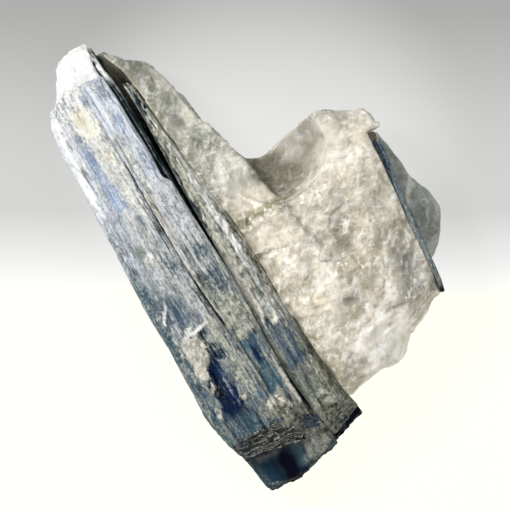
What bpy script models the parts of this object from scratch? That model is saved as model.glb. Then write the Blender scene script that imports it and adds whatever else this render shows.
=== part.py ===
"""Kyanite blade cluster: flat kyanite crystals grown side by side against a lump of milky quartz.

The specimen lies on its back. +Y runs along the blades to their chalky end, +X from the blades to the
quartz, and +Z up from the face that it rests on. The origin is under the middle of its box.
Every size below is in millimetres; the meshes are made in metres.
"""

import random

import bmesh
import bpy
import numpy as np
from mathutils import Matrix, Vector, kdtree, noise

MM = 0.001
GAP = 0.3  # between neighbouring crystals

# Thickness of the stacked blades, from the back of the bundle to its front.
REAR_THICKNESS = 3.3
LOWER_THICKNESS = 5.3
TIPPED_THICKNESS = 4.3
FRONT_THICKNESS = 4.7

REAR_TOP = REAR_THICKNESS
LOWER_FOOT = REAR_TOP + GAP
LOWER_TOP = LOWER_FOOT + LOWER_THICKNESS
TIPPED_FOOT = LOWER_TOP + GAP
TIPPED_TOP = TIPPED_FOOT + TIPPED_THICKNESS
FRONT_FOOT = TIPPED_TOP + GAP
FRONT_TOP = FRONT_FOOT + FRONT_THICKNESS
SIDE_TOP = FRONT_TOP - 2.0

# Lengthwise lines seen from above, as (y, x), from the broken end to the chalky end.
BUNDLE_LEFT = [
    (-39.0, -26.6), (-36.5, -27.7), (-34.2, -28.5), (-27.1, -29.7), (-20.7, -29.2), (-12.6, -28.7),
    (-5.4, -28.7), (2.6, -28.3), (9.4, -27.7), (22.7, -26.9), (29.2, -26.8), (35.3, -25.9),
    (37.6, -24.8), (38.7, -23.6), (40.0, -22.0),
]
GROOVE = [(-36.0, -17.0), (-14.8, -17.1), (-5.5, -17.6), (9.0, -17.6), (24.3, -17.1), (40.0, -16.8)]
NARROW_RIGHT = [
    (-38.0, -11.8), (-34.5, -12.0), (-28.2, -12.1), (-19.7, -11.8), (-12.0, -11.3), (-5.6, -11.0),
    (5.0, -11.2), (15.1, -11.3), (15.8, -12.3), (16.9, -12.8), (21.3, -12.4), (28.2, -12.5), (40.0, -12.9),
]
TIPPED_LEFT = [
    (-40.0, -27.0), (-36.5, -28.0), (-27.1, -29.2), (-12.6, -28.2), (2.6, -27.6), (9.4, -27.2),
    (29.2, -26.3), (35.3, -25.3), (38.7, -23.3), (39.6, -22.4), (42.7, -20.4), (46.8, -17.9),
]
TIPPED_RIGHT = [
    (-41.5, -10.9), (-36.0, -11.4), (-28.0, -12.0), (-20.0, -11.8), (-12.0, -11.3), (14.0, -10.9),
    (23.8, -10.8), (36.3, -10.5), (39.5, -11.3), (43.6, -11.4), (46.8, -11.8),
]
LOWER_LEFT = [
    (-47.0, -25.6), (-46.0, -26.4), (-42.1, -27.4), (-39.4, -27.2), (-36.0, -28.0), (-27.1, -28.6),
    (2.6, -27.9), (29.2, -25.4), (39.6, -21.5), (45.6, -18.8),
]
LOWER_RIGHT = [
    (-47.0, -10.6), (-43.0, -10.6), (-36.0, -11.4), (-28.0, -12.0), (-20.0, -11.8), (-12.0, -11.3),
    (30.0, -10.9), (45.6, -11.2),
]
REAR_LEFT = [(-45.0, -23.5), (-30.0, -26.8), (0.0, -26.9), (29.2, -24.4), (45.5, -17.8)]
SIDE_LEFT = [
    (-43.0, -10.2), (-36.0, -11.0), (-28.0, -11.6), (-20.0, -11.4), (-12.0, -10.9), (7.0, -10.6),
    (13.5, -10.4), (28.0, -9.6), (37.0, -9.8),
]
# The wall where the quartz meets the bundle.
CONTACT = [
    (-46.5, -2.4), (-41.0, -2.9), (-37.5, -3.6), (-34.8, -4.0), (-28.0, -4.5), (-21.1, -4.8),
    (-16.4, -5.2), (-3.2, -4.9), (3.7, -5.2), (11.0, -6.2), (22.6, -7.0), (34.7, -7.8),
    (38.0, -8.4), (42.7, -9.9), (47.0, -10.6),
]
CONTACT_SIDE = [(y, x - GAP) for y, x in CONTACT]
# How far the rear blade reaches under the quartz, which is undercut there.
LEDGE = 1.0
REAR_CORNER = [(-46.5, -3.0), (-41.0, -3.3), (-38.2, -3.9)]
REAR_SIDE = REAR_CORNER + [(y, x + LEDGE) for y, x in CONTACT_SIDE if y > -36.0]

# Across a blade: (share of the width from the left, depth below the top).
BROAD_CROWN = [
    (0.0, 2.7), (0.04, 1.2), (0.11, 0.4), (0.2, 0.0), (0.31, 0.3), (0.4, 0.05), (0.52, 0.35),
    (0.64, 0.1), (0.76, 0.45), (0.86, 0.15), (0.95, 0.3), (1.0, 0.8),
]
NARROW_CROWN = [
    (0.0, 0.7), (0.07, 0.3), (0.15, 0.2), (0.23, 0.95), (0.31, 0.2), (0.55, 0.3), (0.8, 0.0), (0.93, 0.3),
    (1.0, 1.3),
]
TIPPED_CROWN = [(0.0, 0.8), (0.05, 0.2), (0.3, 0.0), (0.5, 0.2), (0.75, 0.0), (0.93, 0.1), (1.0, 0.6)]
LOWER_CROWN = [(0.0, 0.9), (0.07, 0.2), (0.35, 0.0), (0.6, 0.2), (0.85, 0.0), (1.0, 0.7)]
REAR_CROWN = [(0.0, 0.6), (0.05, 0.1), (0.5, 0.0), (0.95, 0.1), (1.0, 0.5)]
SIDE_CROWN = [
    (0.0, 1.2), (0.1, 0.3), (0.24, 0.0), (0.36, 0.35), (0.46, 1.0), (0.54, 0.3), (0.63, 0.1), (0.76, 0.7),
    (0.88, 1.5), (1.0, 2.8),
]

# Up a blade's side: (share of the height, how far it stands back from the line).
SPLIT_SIDE = [(0.0, 0.5), (0.3, 0.1), (0.55, 0.45)]
PLAIN_SIDE = [(0.0, 0.0), (0.5, 0.0)]
# The most of a blade's thickness that a groove or a bevel may take.
DEEPEST_SHARE = 0.6
# How far the ragged ends wander along the blade, each way.
RAGGED = 0.18

# Lumps of crust on the front blades: (x, y, half width, half length, height). CRUST_FALL below 1 makes
# them flat on top and steep at the edge, and CRUST_ROUGH is the least share of the height that is kept.
CRUST = [
    (-24.3, -15.2, 3.3, 5.2, 1.2), (-25.2, -20.6, 1.9, 4.0, 0.9), (-16.2, -32.3, 3.6, 3.4, 1.3),
    (-20.8, -26.9, 1.4, 1.5, 0.9), (-14.5, -13.5, 2.2, 5.4, 0.6),
]
CRUST_FALL = 0.4
CRUST_ROUGH = 0.75

# Quartz outlines seen from above, as (x, y), anticlockwise.
BODY_OUTLINE = [
    (-9.0, -37.8), (-3.5, -38.1), (3.6, -36.8), (6.8, -37.2), (10.7, -36.5), (13.9, -33.9), (19.8, -31.5),
    (22.6, -30.6), (27.6, 2.0), (27.7, 6.2), (26.9, 8.4), (23.9, 9.9), (19.6, 12.0), (15.3, 12.5),
    (11.4, 11.7), (8.0, 10.4), (5.2, 10.3), (3.4, 11.6), (-9.0, 12.5),
]
FIN_OUTLINE = [
    (-11.5, 43.8), (-11.5, -6.0), (-1.0, -6.0), (4.3, 1.0), (3.9, 8.0), (2.7, 14.6), (1.4, 18.0),
    (0.4, 22.0), (-0.5, 25.5), (-1.8, 32.0), (-2.4, 36.0), (-3.5, 38.4), (-6.4, 39.7), (-7.9, 41.3),
    (-10.1, 43.0),
]
LOBE_OUTLINE = [
    (21.0, -24.0), (23.9, -23.6), (26.2, -22.2), (27.8, -20.2), (29.2, -18.2), (30.0, -15.5), (30.0, -12.5),
    (29.3, -10.2), (28.4, -8.4), (28.1, -5.0), (27.8, -1.0), (27.2, 3.0), (24.0, 3.2),
]
BODY_FOOT = -1.0
BODY_TOP = 19.6
FIN_FOOT = 1.0
FIN_TOP = 16.4
LOBE_FOOT = 2.4
LOBE_TOP = 15.0

# Flat breaks that shape the quartz: (point on the break, direction it faces).
BODY_BREAKS = [
    ((2.0, -14.0, 18.2), (-0.10, -0.04, 1.0)),
    ((16.0, -14.0, 18.0), (0.16, -0.02, 1.0)),
    ((20.0, -16.0, 17.0), (0.45, -0.10, 1.0)),
    ((8.0, -32.0, 16.2), (0.10, -0.35, 1.0)),
    ((18.4, -29.9, 13.0), (0.45, -0.90, 0.55)),
    ((-2.0, -12.0, 17.0), (-0.75, 0.05, 1.0)),
    ((20.0, 1.6, 17.3), (0.05, 0.42, 1.0)),
    ((25.5, 7.5, 13.0), (0.45, 0.70, 0.8)),
    ((12.3, -35.7, 5.0), (0.40, -0.90, -0.8)),
    ((24.5, -10.0, 4.5), (0.80, 0.0, -0.9)),
    ((14.0, 9.0, 4.0), (0.15, 0.90, -0.8)),
]
FIN_BREAKS = [
    ((-4.0, 6.0, 15.9), (0.06, 0.05, 1.0)),
    ((-5.0, 28.0, 14.4), (0.18, 0.10, 1.0)),
    ((-5.0, 38.0, 12.6), (0.30, 0.65, 1.0)),
    ((-1.5, 30.0, 13.0), (0.80, 0.45, 0.60)),
    ((-1.2, 24.0, 3.2), (0.85, 0.1, -0.9)),
    ((-6.0, 39.2, 3.5), (0.3, 0.9, -0.7)),
]
LOBE_BREAKS = [
    ((25.0, -12.0, 13.0), (0.30, -0.12, 1.0)),
    ((28.8, -14.0, 10.5), (1.0, -0.2, 0.9)),
    ((26.6, -21.0, 10.0), (0.4, -0.9, 0.7)),
    ((26.6, -3.0, 13.4), (0.5, -0.15, 1.0)),
    ((29.0, -13.0, 5.2), (0.8, -0.1, -1.0)),
]
# Curved breaks scooped out of the body: (centre, half widths).
SADDLE = ((8.0, 11.0, 21.5), (12.5, 11.4, 13.6))
HOLLOWS = [((13.0, -12.0, 24.5), (7.0, 11.0, 7.4)), ((21.5, -24.0, 21.0), (6.0, 8.0, 6.5))]

# Shell-shaped breaks all over a lump, widest first: (spacing, depth).
BODY_SHELLS = [(7.0, 1.3), (3.0, 0.5)]
LOBE_SHELLS = [(4.5, 0.5)]
SHELL_TILT = 0.35
SHELL_LIMIT = 1.2
SHELL_MIDDLE = 0.5
SHELLS_NEAR = 6
# Edge length of a lump's even mesh, and how many triangles it is thinned to.
BODY_SPACING = 0.8
BODY_TRIANGLES = 3200
LOBE_SPACING = 0.7
LOBE_TRIANGLES = 480
BODY_SEED, FIN_SEED, LOBE_SEED, PLATE_SEED = 71, 81, 73, 79

# Larger than the specimen, for the shapes that cut it.
BEYOND = 50.0

# The thin plate: its two faces' lines at its foot, as (start, end), and how far its top leans to the right.
# Its ends are rounded off over PLATE_ROUNDED of the length each, down to PLATE_END_SHARE of the height.
PLATE_LEFT = ((20.9, -29.9), (24.1, 3.3))
PLATE_RIGHT = ((21.7, -29.9), (25.6, 3.3))
PLATE_FOOT = 2.6
PLATE_TOP = 16.2
PLATE_LEAN = 0.6
PLATE_SECTIONS = 15
PLATE_ROUNDED = 0.08
PLATE_END_SHARE = 0.7


def at(line, place):
    """The line's value at a place along it, straight between its points."""
    places, values = zip(*line)
    return float(np.interp(place, places, values))


def make_material(name, colour, roughness):
    material = bpy.data.materials.new(name)
    material.use_nodes = True
    shader = material.node_tree.nodes["Principled BSDF"]
    shader.inputs["Base Color"].default_value = (*colour, 1.0)
    shader.inputs["Roughness"].default_value = roughness
    shader.inputs["Metallic"].default_value = 0.0
    material.diffuse_color = (*colour, 1.0)
    return material


def make_object(name, mesh, collection):
    obj = bpy.data.objects.new(name, mesh)
    collection.objects.link(obj)
    return obj


def mesh_from(bm, name):
    bmesh.ops.recalc_face_normals(bm, faces=bm.faces)
    mesh = bpy.data.meshes.new(name)
    bm.to_mesh(mesh)
    bm.free()
    return mesh


def loft(sections):
    """A closed skin over sections that have the same number of points, given in order along the solid."""
    bm = bmesh.new()
    rings = [[bm.verts.new(Vector(point) * MM) for point in section] for section in sections]
    for ring, following in zip(rings, rings[1:]):
        for index in range(len(ring)):
            beside = (index + 1) % len(ring)
            bm.faces.new((ring[index], ring[beside], following[beside], following[index]))
    bm.faces.new(rings[0])
    bm.faces.new(rings[-1])
    bmesh.ops.triangulate(bm, faces=bm.faces)
    return bm


def drawn_up(outline, foot, top):
    """A closed lump with the outline as its plan."""
    bm = bmesh.new()
    base = bm.faces.new([bm.verts.new(Vector((x, y, foot)) * MM) for x, y in outline])
    raised = bmesh.ops.extrude_face_region(bm, geom=[base])
    corners = [item for item in raised["geom"] if isinstance(item, bmesh.types.BMVert)]
    bmesh.ops.translate(bm, verts=corners, vec=(0.0, 0.0, (top - foot) * MM))
    return bm


def block(size, middle):
    bm = bmesh.new()
    bmesh.ops.create_cube(bm, size=1.0)
    bm.transform(Matrix.Diagonal((*(Vector(size) * MM), 1.0)))
    bmesh.ops.translate(bm, verts=bm.verts, vec=Vector(middle) * MM)
    return bm


# ---- Blades: lofts of unlike sections from one broken end to the other ----


def end_rows(steps):
    """Rows of a stepped end: (how far from brow to foot, share of the height that is left)."""
    rows = []
    for step in range(steps):
        left = 1.0 - (step + 1.0) / (steps + 1.0)
        rows.append(((step + 0.2) / steps, left))
        rows.append(((step + 0.95) / steps, left))
    return rows


def blade_rows(blade):
    """Every section of a blade: (the two lines it lies between, how far along, share of the height)."""
    low_brow, low_foot, low_steps = blade["low_end"]
    high_brow, high_foot, high_steps = blade["high_end"]
    rows = [(low_brow, low_foot, out, left) for out, left in reversed(end_rows(low_steps))]
    rows += [(low_brow, high_brow, place, 1.0) for place in blade["stations"]]
    rows += [(high_brow, high_foot, out, left) for out, left in end_rows(high_steps)]
    return rows


def lump_height(x, y):
    """How far the crust stands up at a point of the front blades."""
    height = 0.0
    for centre_x, centre_y, half_width, half_length, top in CRUST:
        away = ((x - centre_x) / half_width) ** 2 + ((y - centre_y) / half_length) ** 2
        if away < 1.0:
            rough = CRUST_ROUGH + 0.5 * noise.noise(Vector((x * 0.9, y * 0.9, centre_x)))
            height = max(height, top * (1.0 - away) ** CRUST_FALL * rough)
    return height


def blade_section(blade, row, dice):
    """One section, as points up the left side, across the crown and down the right side."""
    first, second, blend, share_left = row
    foot, seed = blade["foot"], blade["seed"]

    def along(share):
        return at(first, share) + blend * (at(second, share) - at(first, share))

    def full_top(share):
        return foot + share_left * (at(blade["top"], along(share)) - foot)

    def place(share, height, inset):
        y = along(share)
        if share_left < 1.0:
            y += dice.uniform(-RAGGED, RAGGED)
        left, right = at(blade["left"], y), at(blade["right"], y)
        return left + share * (right - left) + inset, y, height

    def side_point(share, rise, inset):
        drop = blade["crown"][0 if share == 0.0 else -1][1]
        thickness = full_top(share) - foot
        height = thickness - min(drop, DEEPEST_SHARE * thickness)
        wander = blade["wander"] * abs(noise.noise(Vector((rise * 9.0, along(share) * 0.09, seed))))
        return place(share, foot + rise * height, inset + (wander if share == 0.0 else -wander))

    def crown_point(share, drop):
        relief = blade["relief"] * abs(noise.noise(Vector((share * 11.0, along(share) * 0.11, seed + 5.0))))
        thickness = full_top(share) - foot
        x, y, height = place(share, foot + thickness - min(drop + relief, DEEPEST_SHARE * thickness), 0.0)
        if blade["crusted"] and share_left == 1.0:
            height += lump_height(x, y)
        return x, y, height

    points = [side_point(0.0, rise, inset) for rise, inset in blade["left_side"]]
    points += [crown_point(share, drop) for share, drop in blade["crown"]]
    points += [side_point(1.0, rise, -inset) for rise, inset in reversed(blade["right_side"])]
    return points


def build_blade(blade, collection):
    dice = random.Random(blade["seed"])
    bm = loft([blade_section(blade, row, dice) for row in blade_rows(blade)])
    obj = make_object(blade["name"], mesh_from(bm, blade["name"]), collection)
    obj.data.materials.append(make_material(blade["name"], blade["colour"], blade["roughness"]))


def stations(count, extra=()):
    """Places along a blade from its low brow to its high brow, 0 to 1, with any that a detail needs."""
    return sorted(set(np.linspace(0.0, 1.0, count)) | set(extra))


BLADES = [
    {
        "name": "broad_front_blade",
        "left": BUNDLE_LEFT, "right": [(y, x - GAP / 2) for y, x in GROOVE],
        "foot": FRONT_FOOT,
        "top": [(-36.0, FRONT_TOP - 0.2), (0.0, FRONT_TOP), (40.0, FRONT_TOP - 0.9)],
        "crown": BROAD_CROWN, "left_side": SPLIT_SIDE, "right_side": PLAIN_SIDE,
        "low_end": ([(0, -34.2), (0.5, -34.5), (1, -35.1)], [(0, -36.2), (0.5, -36.5), (1, -36.9)], 3),
        "high_end": ([(0, 37.6), (0.35, 39.3), (1, 38.9)], [(0, 38.2), (0.35, 39.9), (1, 39.5)], 2),
        "stations": stations(38), "relief": 0.35, "wander": 0.5, "crusted": True, "seed": 11,
        "colour": (0.36, 0.43, 0.56), "roughness": 0.45,
    },
    {
        "name": "narrow_front_blade",
        "left": [(y, x + GAP / 2) for y, x in GROOVE], "right": NARROW_RIGHT,
        "foot": FRONT_FOOT,
        "top": [(-36.0, FRONT_TOP - 0.7), (0.0, FRONT_TOP - 0.4), (40.0, FRONT_TOP - 1.1)],
        "crown": NARROW_CROWN, "left_side": PLAIN_SIDE, "right_side": SPLIT_SIDE,
        "low_end": ([(0, -35.0), (0.5, -34.2), (1, -33.4)], [(0, -36.7), (0.5, -37.0), (1, -37.9)], 3),
        "high_end": ([(0, 38.9), (1, 38.3)], [(0, 39.5), (1, 38.9)], 2),
        "stations": stations(34, (0.681, 0.692, 0.702, 0.715)),
        "relief": 0.3, "wander": 0.1, "crusted": True, "seed": 23,
        "colour": (0.42, 0.48, 0.58), "roughness": 0.45,
    },
    {
        "name": "white_tipped_blade", "left": TIPPED_LEFT, "right": TIPPED_RIGHT,
        "foot": TIPPED_FOOT, "top": [(-38.0, TIPPED_TOP), (46.0, TIPPED_TOP)],
        "crown": TIPPED_CROWN, "left_side": SPLIT_SIDE, "right_side": PLAIN_SIDE,
        "low_end": ([(0, -36.7), (0.5, -36.9), (0.8, -37.1), (1, -37.8)],
                    [(0, -38.4), (0.5, -39.0), (0.8, -39.8), (1, -41.2)], 3),
        "high_end": ([(0, 44.8), (0.5, 45.7), (1, 45.4)], [(0, 45.6), (0.5, 46.7), (1, 46.3)], 2),
        "stations": stations(26, (0.93, 0.95, 0.97)),
        "relief": 0.4, "wander": 0.4, "crusted": False, "seed": 37,
        "colour": (0.80, 0.80, 0.76), "roughness": 0.7,
    },
    {
        "name": "lower_blade", "left": LOWER_LEFT, "right": LOWER_RIGHT,
        "foot": LOWER_FOOT, "top": [(-47.0, LOWER_TOP - 0.6), (-39.0, LOWER_TOP), (45.0, LOWER_TOP)],
        "crown": LOWER_CROWN, "left_side": SPLIT_SIDE, "right_side": PLAIN_SIDE,
        "low_end": ([(0, -44.4), (0.35, -45.8), (0.6, -44.7), (1, -43.2)],
                    [(0, -46.0), (0.35, -47.0), (0.6, -46.2), (1, -44.9)], 2),
        "high_end": ([(0, 42.8), (1, 44.6)], [(0, 43.6), (1, 45.4)], 1),
        "stations": stations(24), "relief": 0.35, "wander": 0.5, "crusted": False, "seed": 41,
        "colour": (0.06, 0.12, 0.26), "roughness": 0.3,
    },
    {
        "name": "rear_blade", "left": REAR_LEFT, "right": REAR_SIDE,
        "foot": 0.0, "top": [(-45.0, REAR_TOP), (45.5, REAR_TOP)],
        "crown": REAR_CROWN, "left_side": PLAIN_SIDE, "right_side": PLAIN_SIDE,
        "low_end": ([(0, -42.7), (0.55, -44.7), (0.7, -43.9), (1, -41.8)],
                    [(0, -43.4), (0.55, -45.5), (0.7, -44.6), (1, -42.5)], 1),
        "high_end": ([(0, 43.0), (0.8, 43.6), (1, 42.8)], [(0, 44.4), (0.8, 44.4), (1, 43.6)], 1),
        "stations": stations(22), "relief": 0.25, "wander": 0.2, "crusted": False, "seed": 53,
        "colour": (0.03, 0.04, 0.10), "roughness": 0.3,
    },
    {
        "name": "side_blade", "left": SIDE_LEFT, "right": CONTACT_SIDE,
        "foot": LOWER_FOOT,
        "top": [(-43.0, SIDE_TOP - 1.6), (-20.0, SIDE_TOP), (12.0, SIDE_TOP - 0.3), (37.0, SIDE_TOP - 2.0)],
        "crown": SIDE_CROWN, "left_side": PLAIN_SIDE, "right_side": PLAIN_SIDE,
        "low_end": ([(0, -37.0), (0.5, -37.3), (1, -38.2)], [(0, -42.9), (0.5, -41.7), (1, -40.4)], 4),
        "high_end": ([(0, 35.2), (0.5, 35.2), (1, 34.2)], [(0, 36.6), (0.5, 36.4), (1, 35.2)], 2),
        "stations": stations(34), "relief": 0.5, "wander": 0.0, "crusted": False, "seed": 67,
        "colour": (0.55, 0.57, 0.52), "roughness": 0.5,
    },
]


# ---- Quartz: outlines drawn up into lumps, broken along flat and curved faces ----


def break_flat(bm, point, facing):
    """Takes off what lies beyond a flat break and closes the lump there."""
    geom = bm.verts[:] + bm.edges[:] + bm.faces[:]
    cut = bmesh.ops.bisect_plane(
        bm, geom=geom, dist=1e-7, plane_co=Vector(point) * MM, plane_no=Vector(facing), clear_outer=True
    )
    rim = [item for item in cut["geom_cut"] if isinstance(item, bmesh.types.BMEdge)]
    if rim:
        bmesh.ops.contextual_create(bm, geom=rim)


def broken_lump(name, outline, foot, top, breaks, collection):
    bm = drawn_up(outline, foot, top)
    for point, facing in breaks:
        break_flat(bm, point, facing)
    bmesh.ops.triangulate(bm, faces=bm.faces)
    return make_object(name, mesh_from(bm, name), collection)


def scoop(name, centre, half_widths, collection):
    bm = bmesh.new()
    bmesh.ops.create_icosphere(bm, subdivisions=4, radius=1.0)
    bm.transform(Matrix.Diagonal((*(Vector(half_widths) * MM), 1.0)))
    bmesh.ops.translate(bm, verts=bm.verts, vec=Vector(centre) * MM)
    return make_object(name, mesh_from(bm, name), collection)


def combine(obj, other, operation):
    modifier = obj.modifiers.new(operation.lower() + "_" + other.name, "BOOLEAN")
    modifier.operation = operation
    modifier.solver = "EXACT"
    modifier.object = other


def bake(obj):
    """Replaces an object's mesh by what its modifiers make of it."""
    evaluated = obj.evaluated_get(bpy.context.evaluated_depsgraph_get())
    mesh = bpy.data.meshes.new_from_object(evaluated)
    obj.modifiers.clear()
    obj.data = mesh


def even_mesh(obj, spacing):
    modifier = obj.modifiers.new("even_mesh", "REMESH")
    modifier.mode = "VOXEL"
    modifier.voxel_size = spacing * MM
    bake(obj)


def thin_out(obj, triangles):
    count = sum(len(face.vertices) - 2 for face in obj.data.polygons)
    modifier = obj.modifiers.new("thin_out", "DECIMATE")
    modifier.ratio = triangles / count
    modifier.use_collapse_triangulate = True
    bake(obj)


def shell_breaks(obj, spacing, depth, seed):
    """Covers the surface in shallow shell-shaped hollows that meet in sharp ridges."""
    dice = random.Random(seed)
    low = np.min([vertex.co for vertex in obj.data.vertices], axis=0) / MM
    high = np.max([vertex.co for vertex in obj.data.vertices], axis=0) / MM
    count = int(np.prod((high - low) / spacing + 1.0))
    centres = kdtree.KDTree(count)
    tilts = []
    for index in range(count):
        centres.insert([dice.uniform(a, b) for a, b in zip(low, high)], index)
        tilts.append(Vector([dice.gauss(0.0, SHELL_TILT) for _ in range(3)]))
    centres.balance()
    normals = [vertex.normal.copy() for vertex in obj.data.vertices]
    for vertex, normal in zip(obj.data.vertices, normals):
        place = vertex.co / MM
        lowest = min(
            (place - centre).dot(tilts[index]) / spacing + (away / spacing) ** 2
            for centre, index, away in centres.find_n(place, SHELLS_NEAR)
        )
        vertex.co += normal * (max(-SHELL_LIMIT, min(SHELL_LIMIT, lowest)) - SHELL_MIDDLE) * depth * MM


def contact_cutter(name, shift, top, collection):
    """All that lies on the blades' side of the wall where the quartz meets them, the wall shifted in x."""
    wall = [(x + shift, y) for y, x in CONTACT]
    low, high = (wall[0][0], -BEYOND), (wall[-1][0], BEYOND)
    outline = [(-BEYOND, BEYOND), (-BEYOND, -BEYOND), low, *wall, high]
    return make_object(name, mesh_from(drawn_up(outline, -BEYOND, top), name), collection)


def plate_frame(face):
    """Puts x across the plate from one of its faces, y along the face and z up its lean."""
    start, end = [Vector((*corner, PLATE_FOOT)) for corner in face]
    along = (end - start).normalized()
    across = Vector((along.y, -along.x, 0.0))
    up = Vector((0.0, 0.0, PLATE_TOP - PLATE_FOOT)) + across * PLATE_LEAN
    frame = Matrix((across, along, up.normalized())).transposed().to_4x4()
    frame.translation = start * MM
    return frame, (end - start).length


def half_space(name, face, side, collection):
    """A block beside a face of the plate, 1 for its right side, with the usual gap, up to its far end."""
    frame, length = plate_frame(face)
    middle = (side * (BEYOND / 2 - GAP), length + GAP - BEYOND, 0.0)
    bm = block((BEYOND, 2 * BEYOND, 2 * BEYOND), middle)
    bm.transform(frame)
    return make_object(name, mesh_from(bm, name), collection)


def floor_cutter(collection):
    """All that lies under the face the specimen rests on."""
    bm = block((3 * BEYOND, 3 * BEYOND, BEYOND), (0.0, 0.0, -BEYOND / 2))
    return make_object("floor_cutter", mesh_from(bm, "floor_cutter"), collection)


def build_quartz(parts, cutters):
    body = broken_lump("quartz_matrix", BODY_OUTLINE, BODY_FOOT, BODY_TOP, BODY_BREAKS, parts)
    fin = broken_lump("fin", FIN_OUTLINE, FIN_FOOT, FIN_TOP, FIN_BREAKS, cutters)
    for lump, seed in ((body, BODY_SEED), (fin, FIN_SEED)):
        even_mesh(lump, BODY_SPACING)
        for index, (spacing, depth) in enumerate(BODY_SHELLS):
            shell_breaks(lump, spacing, depth, seed + index)
    for index, (centre, half_widths) in enumerate([SADDLE, *HOLLOWS]):
        combine(body, scoop("hollow_%d" % index, centre, half_widths, cutters), "DIFFERENCE")
    combine(body, fin, "UNION")
    bake(body)
    thin_out(body, BODY_TRIANGLES)
    combine(body, contact_cutter("contact_cutter", 0.0, BEYOND, cutters), "DIFFERENCE")
    combine(body, contact_cutter("ledge_cutter", LEDGE, REAR_TOP + GAP, cutters), "DIFFERENCE")
    combine(body, half_space("slot_cutter", PLATE_LEFT, 1, cutters), "DIFFERENCE")
    combine(body, floor_cutter(cutters), "DIFFERENCE")
    body.data.materials.append(make_material("quartz_matrix", (0.74, 0.71, 0.65), 0.35))


def build_lobe(parts, cutters):
    lobe = broken_lump("quartz_lobe", LOBE_OUTLINE, LOBE_FOOT, LOBE_TOP, LOBE_BREAKS, parts)
    even_mesh(lobe, LOBE_SPACING)
    for spacing, depth in LOBE_SHELLS:
        shell_breaks(lobe, spacing, depth, LOBE_SEED)
    thin_out(lobe, LOBE_TRIANGLES)
    combine(lobe, half_space("lobe_cutter", PLATE_RIGHT, -1, cutters), "DIFFERENCE")
    lobe.data.materials.append(make_material("quartz_lobe", (0.42, 0.45, 0.45), 0.3))


def plate_section(place, length, dice):
    """The plate's section at a share of its length: upright, stepped at the top, ragged at the foot."""
    height = PLATE_TOP - PLATE_FOOT
    thin, thick = [right[0] - left[0] for left, right in zip(PLATE_LEFT, PLATE_RIGHT)]
    thickness = thin + place * (thick - thin)
    into_end = max(0.0, abs(place - 0.5) - 0.5 + PLATE_ROUNDED) / PLATE_ROUNDED
    rounding = 1.0 - (1.0 - PLATE_END_SHARE) * into_end
    top = height * rounding - dice.uniform(0.0, 0.5)
    foot = 0.8 * height * (1.0 - rounding) + dice.uniform(0.0, 0.6)
    split = thickness * dice.uniform(0.4, 0.6)
    left = [(0.1, foot), (0.0, foot + 0.4 * (top - foot)), (0.0, top - 0.9)]
    brow = [(split - 0.1, top - 0.7), (split, top)]
    right = [(thickness - 0.15, top - 0.2), (thickness, top - 1.2), (thickness - 0.1, foot)]
    return [(x, place * length, z) for x, z in left + brow + right]


def build_plate(parts):
    """The thin blade on its edge."""
    frame, length = plate_frame(PLATE_LEFT)
    dice = random.Random(PLATE_SEED)
    bm = loft([plate_section(place, length, dice) for place in np.linspace(0.0, 1.0, PLATE_SECTIONS)])
    bm.transform(frame)
    plate = make_object("edge_blade", mesh_from(bm, "edge_blade"), parts)
    plate.data.materials.append(make_material("edge_blade", (0.10, 0.17, 0.30), 0.35))


def new_collection(name):
    collection = bpy.data.collections.new(name)
    bpy.context.scene.collection.children.link(collection)
    return collection


def main():
    for obj in list(bpy.data.objects):
        bpy.data.objects.remove(obj, do_unlink=True)
    parts = new_collection("kyanite_blade_cluster")
    cutters = new_collection("cutters")
    for blade in BLADES:
        build_blade(blade, parts)
    build_quartz(parts, cutters)
    build_plate(parts)
    build_lobe(parts, cutters)
    for cutter in cutters.objects:
        cutter.hide_render = True
        cutter.display_type = "WIRE"


main()
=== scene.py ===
"""The looks of the kyanite blade cluster: flat blades of kyanite beside a lump of milky quartz.

Sizes are in millimetres in the row frame, with +Y along the blades to the chalky end, +X from the blades
to the quartz and +Z up from the floor. Every node of the frame gets a fine mesh of the same shape, which is
carved inwards and marked with named colours.

Noise takes points divided by the size of its features, a seed and, where it is fractal, its octaves. Each
mark and strip in a list has the next seed, so a new one goes at the end of its list.
"""

import itertools
import math

import bpy
import numpy as np
from mathutils import Matrix, Vector


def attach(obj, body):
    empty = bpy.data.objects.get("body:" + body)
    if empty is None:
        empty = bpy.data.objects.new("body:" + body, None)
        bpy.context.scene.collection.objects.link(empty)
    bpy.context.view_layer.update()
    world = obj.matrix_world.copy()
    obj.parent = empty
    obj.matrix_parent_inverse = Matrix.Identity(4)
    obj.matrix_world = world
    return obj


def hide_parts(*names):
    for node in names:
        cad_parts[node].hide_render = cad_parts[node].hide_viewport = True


MM = 0.001

# ---- Colours, as they look in daylight: red, green and blue from 0 to 255 ----

CHALK = (250, 250, 247)
CREAM = (240, 238, 220)
SHELL = (234, 234, 226)
BUFF = (234, 229, 206)
CRUST = (216, 212, 200)
OLIVE = (150, 154, 140)
DARK_OLIVE = (84, 90, 74)
PALE_LAVENDER = (212, 216, 224)
LAVENDER = (164, 172, 188)
WHITE_LAVENDER = (226, 232, 242)
PALE_BLUE = (156, 174, 200)
GREY_BLUE = (138, 148, 154)
STEEL = (114, 128, 136)
SLATE = (78, 96, 110)
TEAL = (66, 94, 106)
BLUE = (44, 78, 120)
NAVY = (14, 34, 64)
INK = (2, 3, 24)
# A dark teal that is mostly painted shade: laid in the trenches beside the front blades, in small carved pits
# and beside the chalky tip, where shade falls.
DARK_TEAL_AND_SHADE = (26, 44, 52)
END_GREY = (66, 69, 67)
FACET_GREY = (112, 120, 116)
FACET_VIOLET = (66, 74, 98)
STUB_LILAC = (98, 98, 104)
QUARTZ = (214, 207, 189)
QUARTZ_WHITE = (238, 234, 220)
WARM_QUARTZ = (230, 222, 202)
PALE_QUARTZ_PAINTED_LIGHT = (255, 250, 242)
TAUPE = (172, 164, 140)
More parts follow.
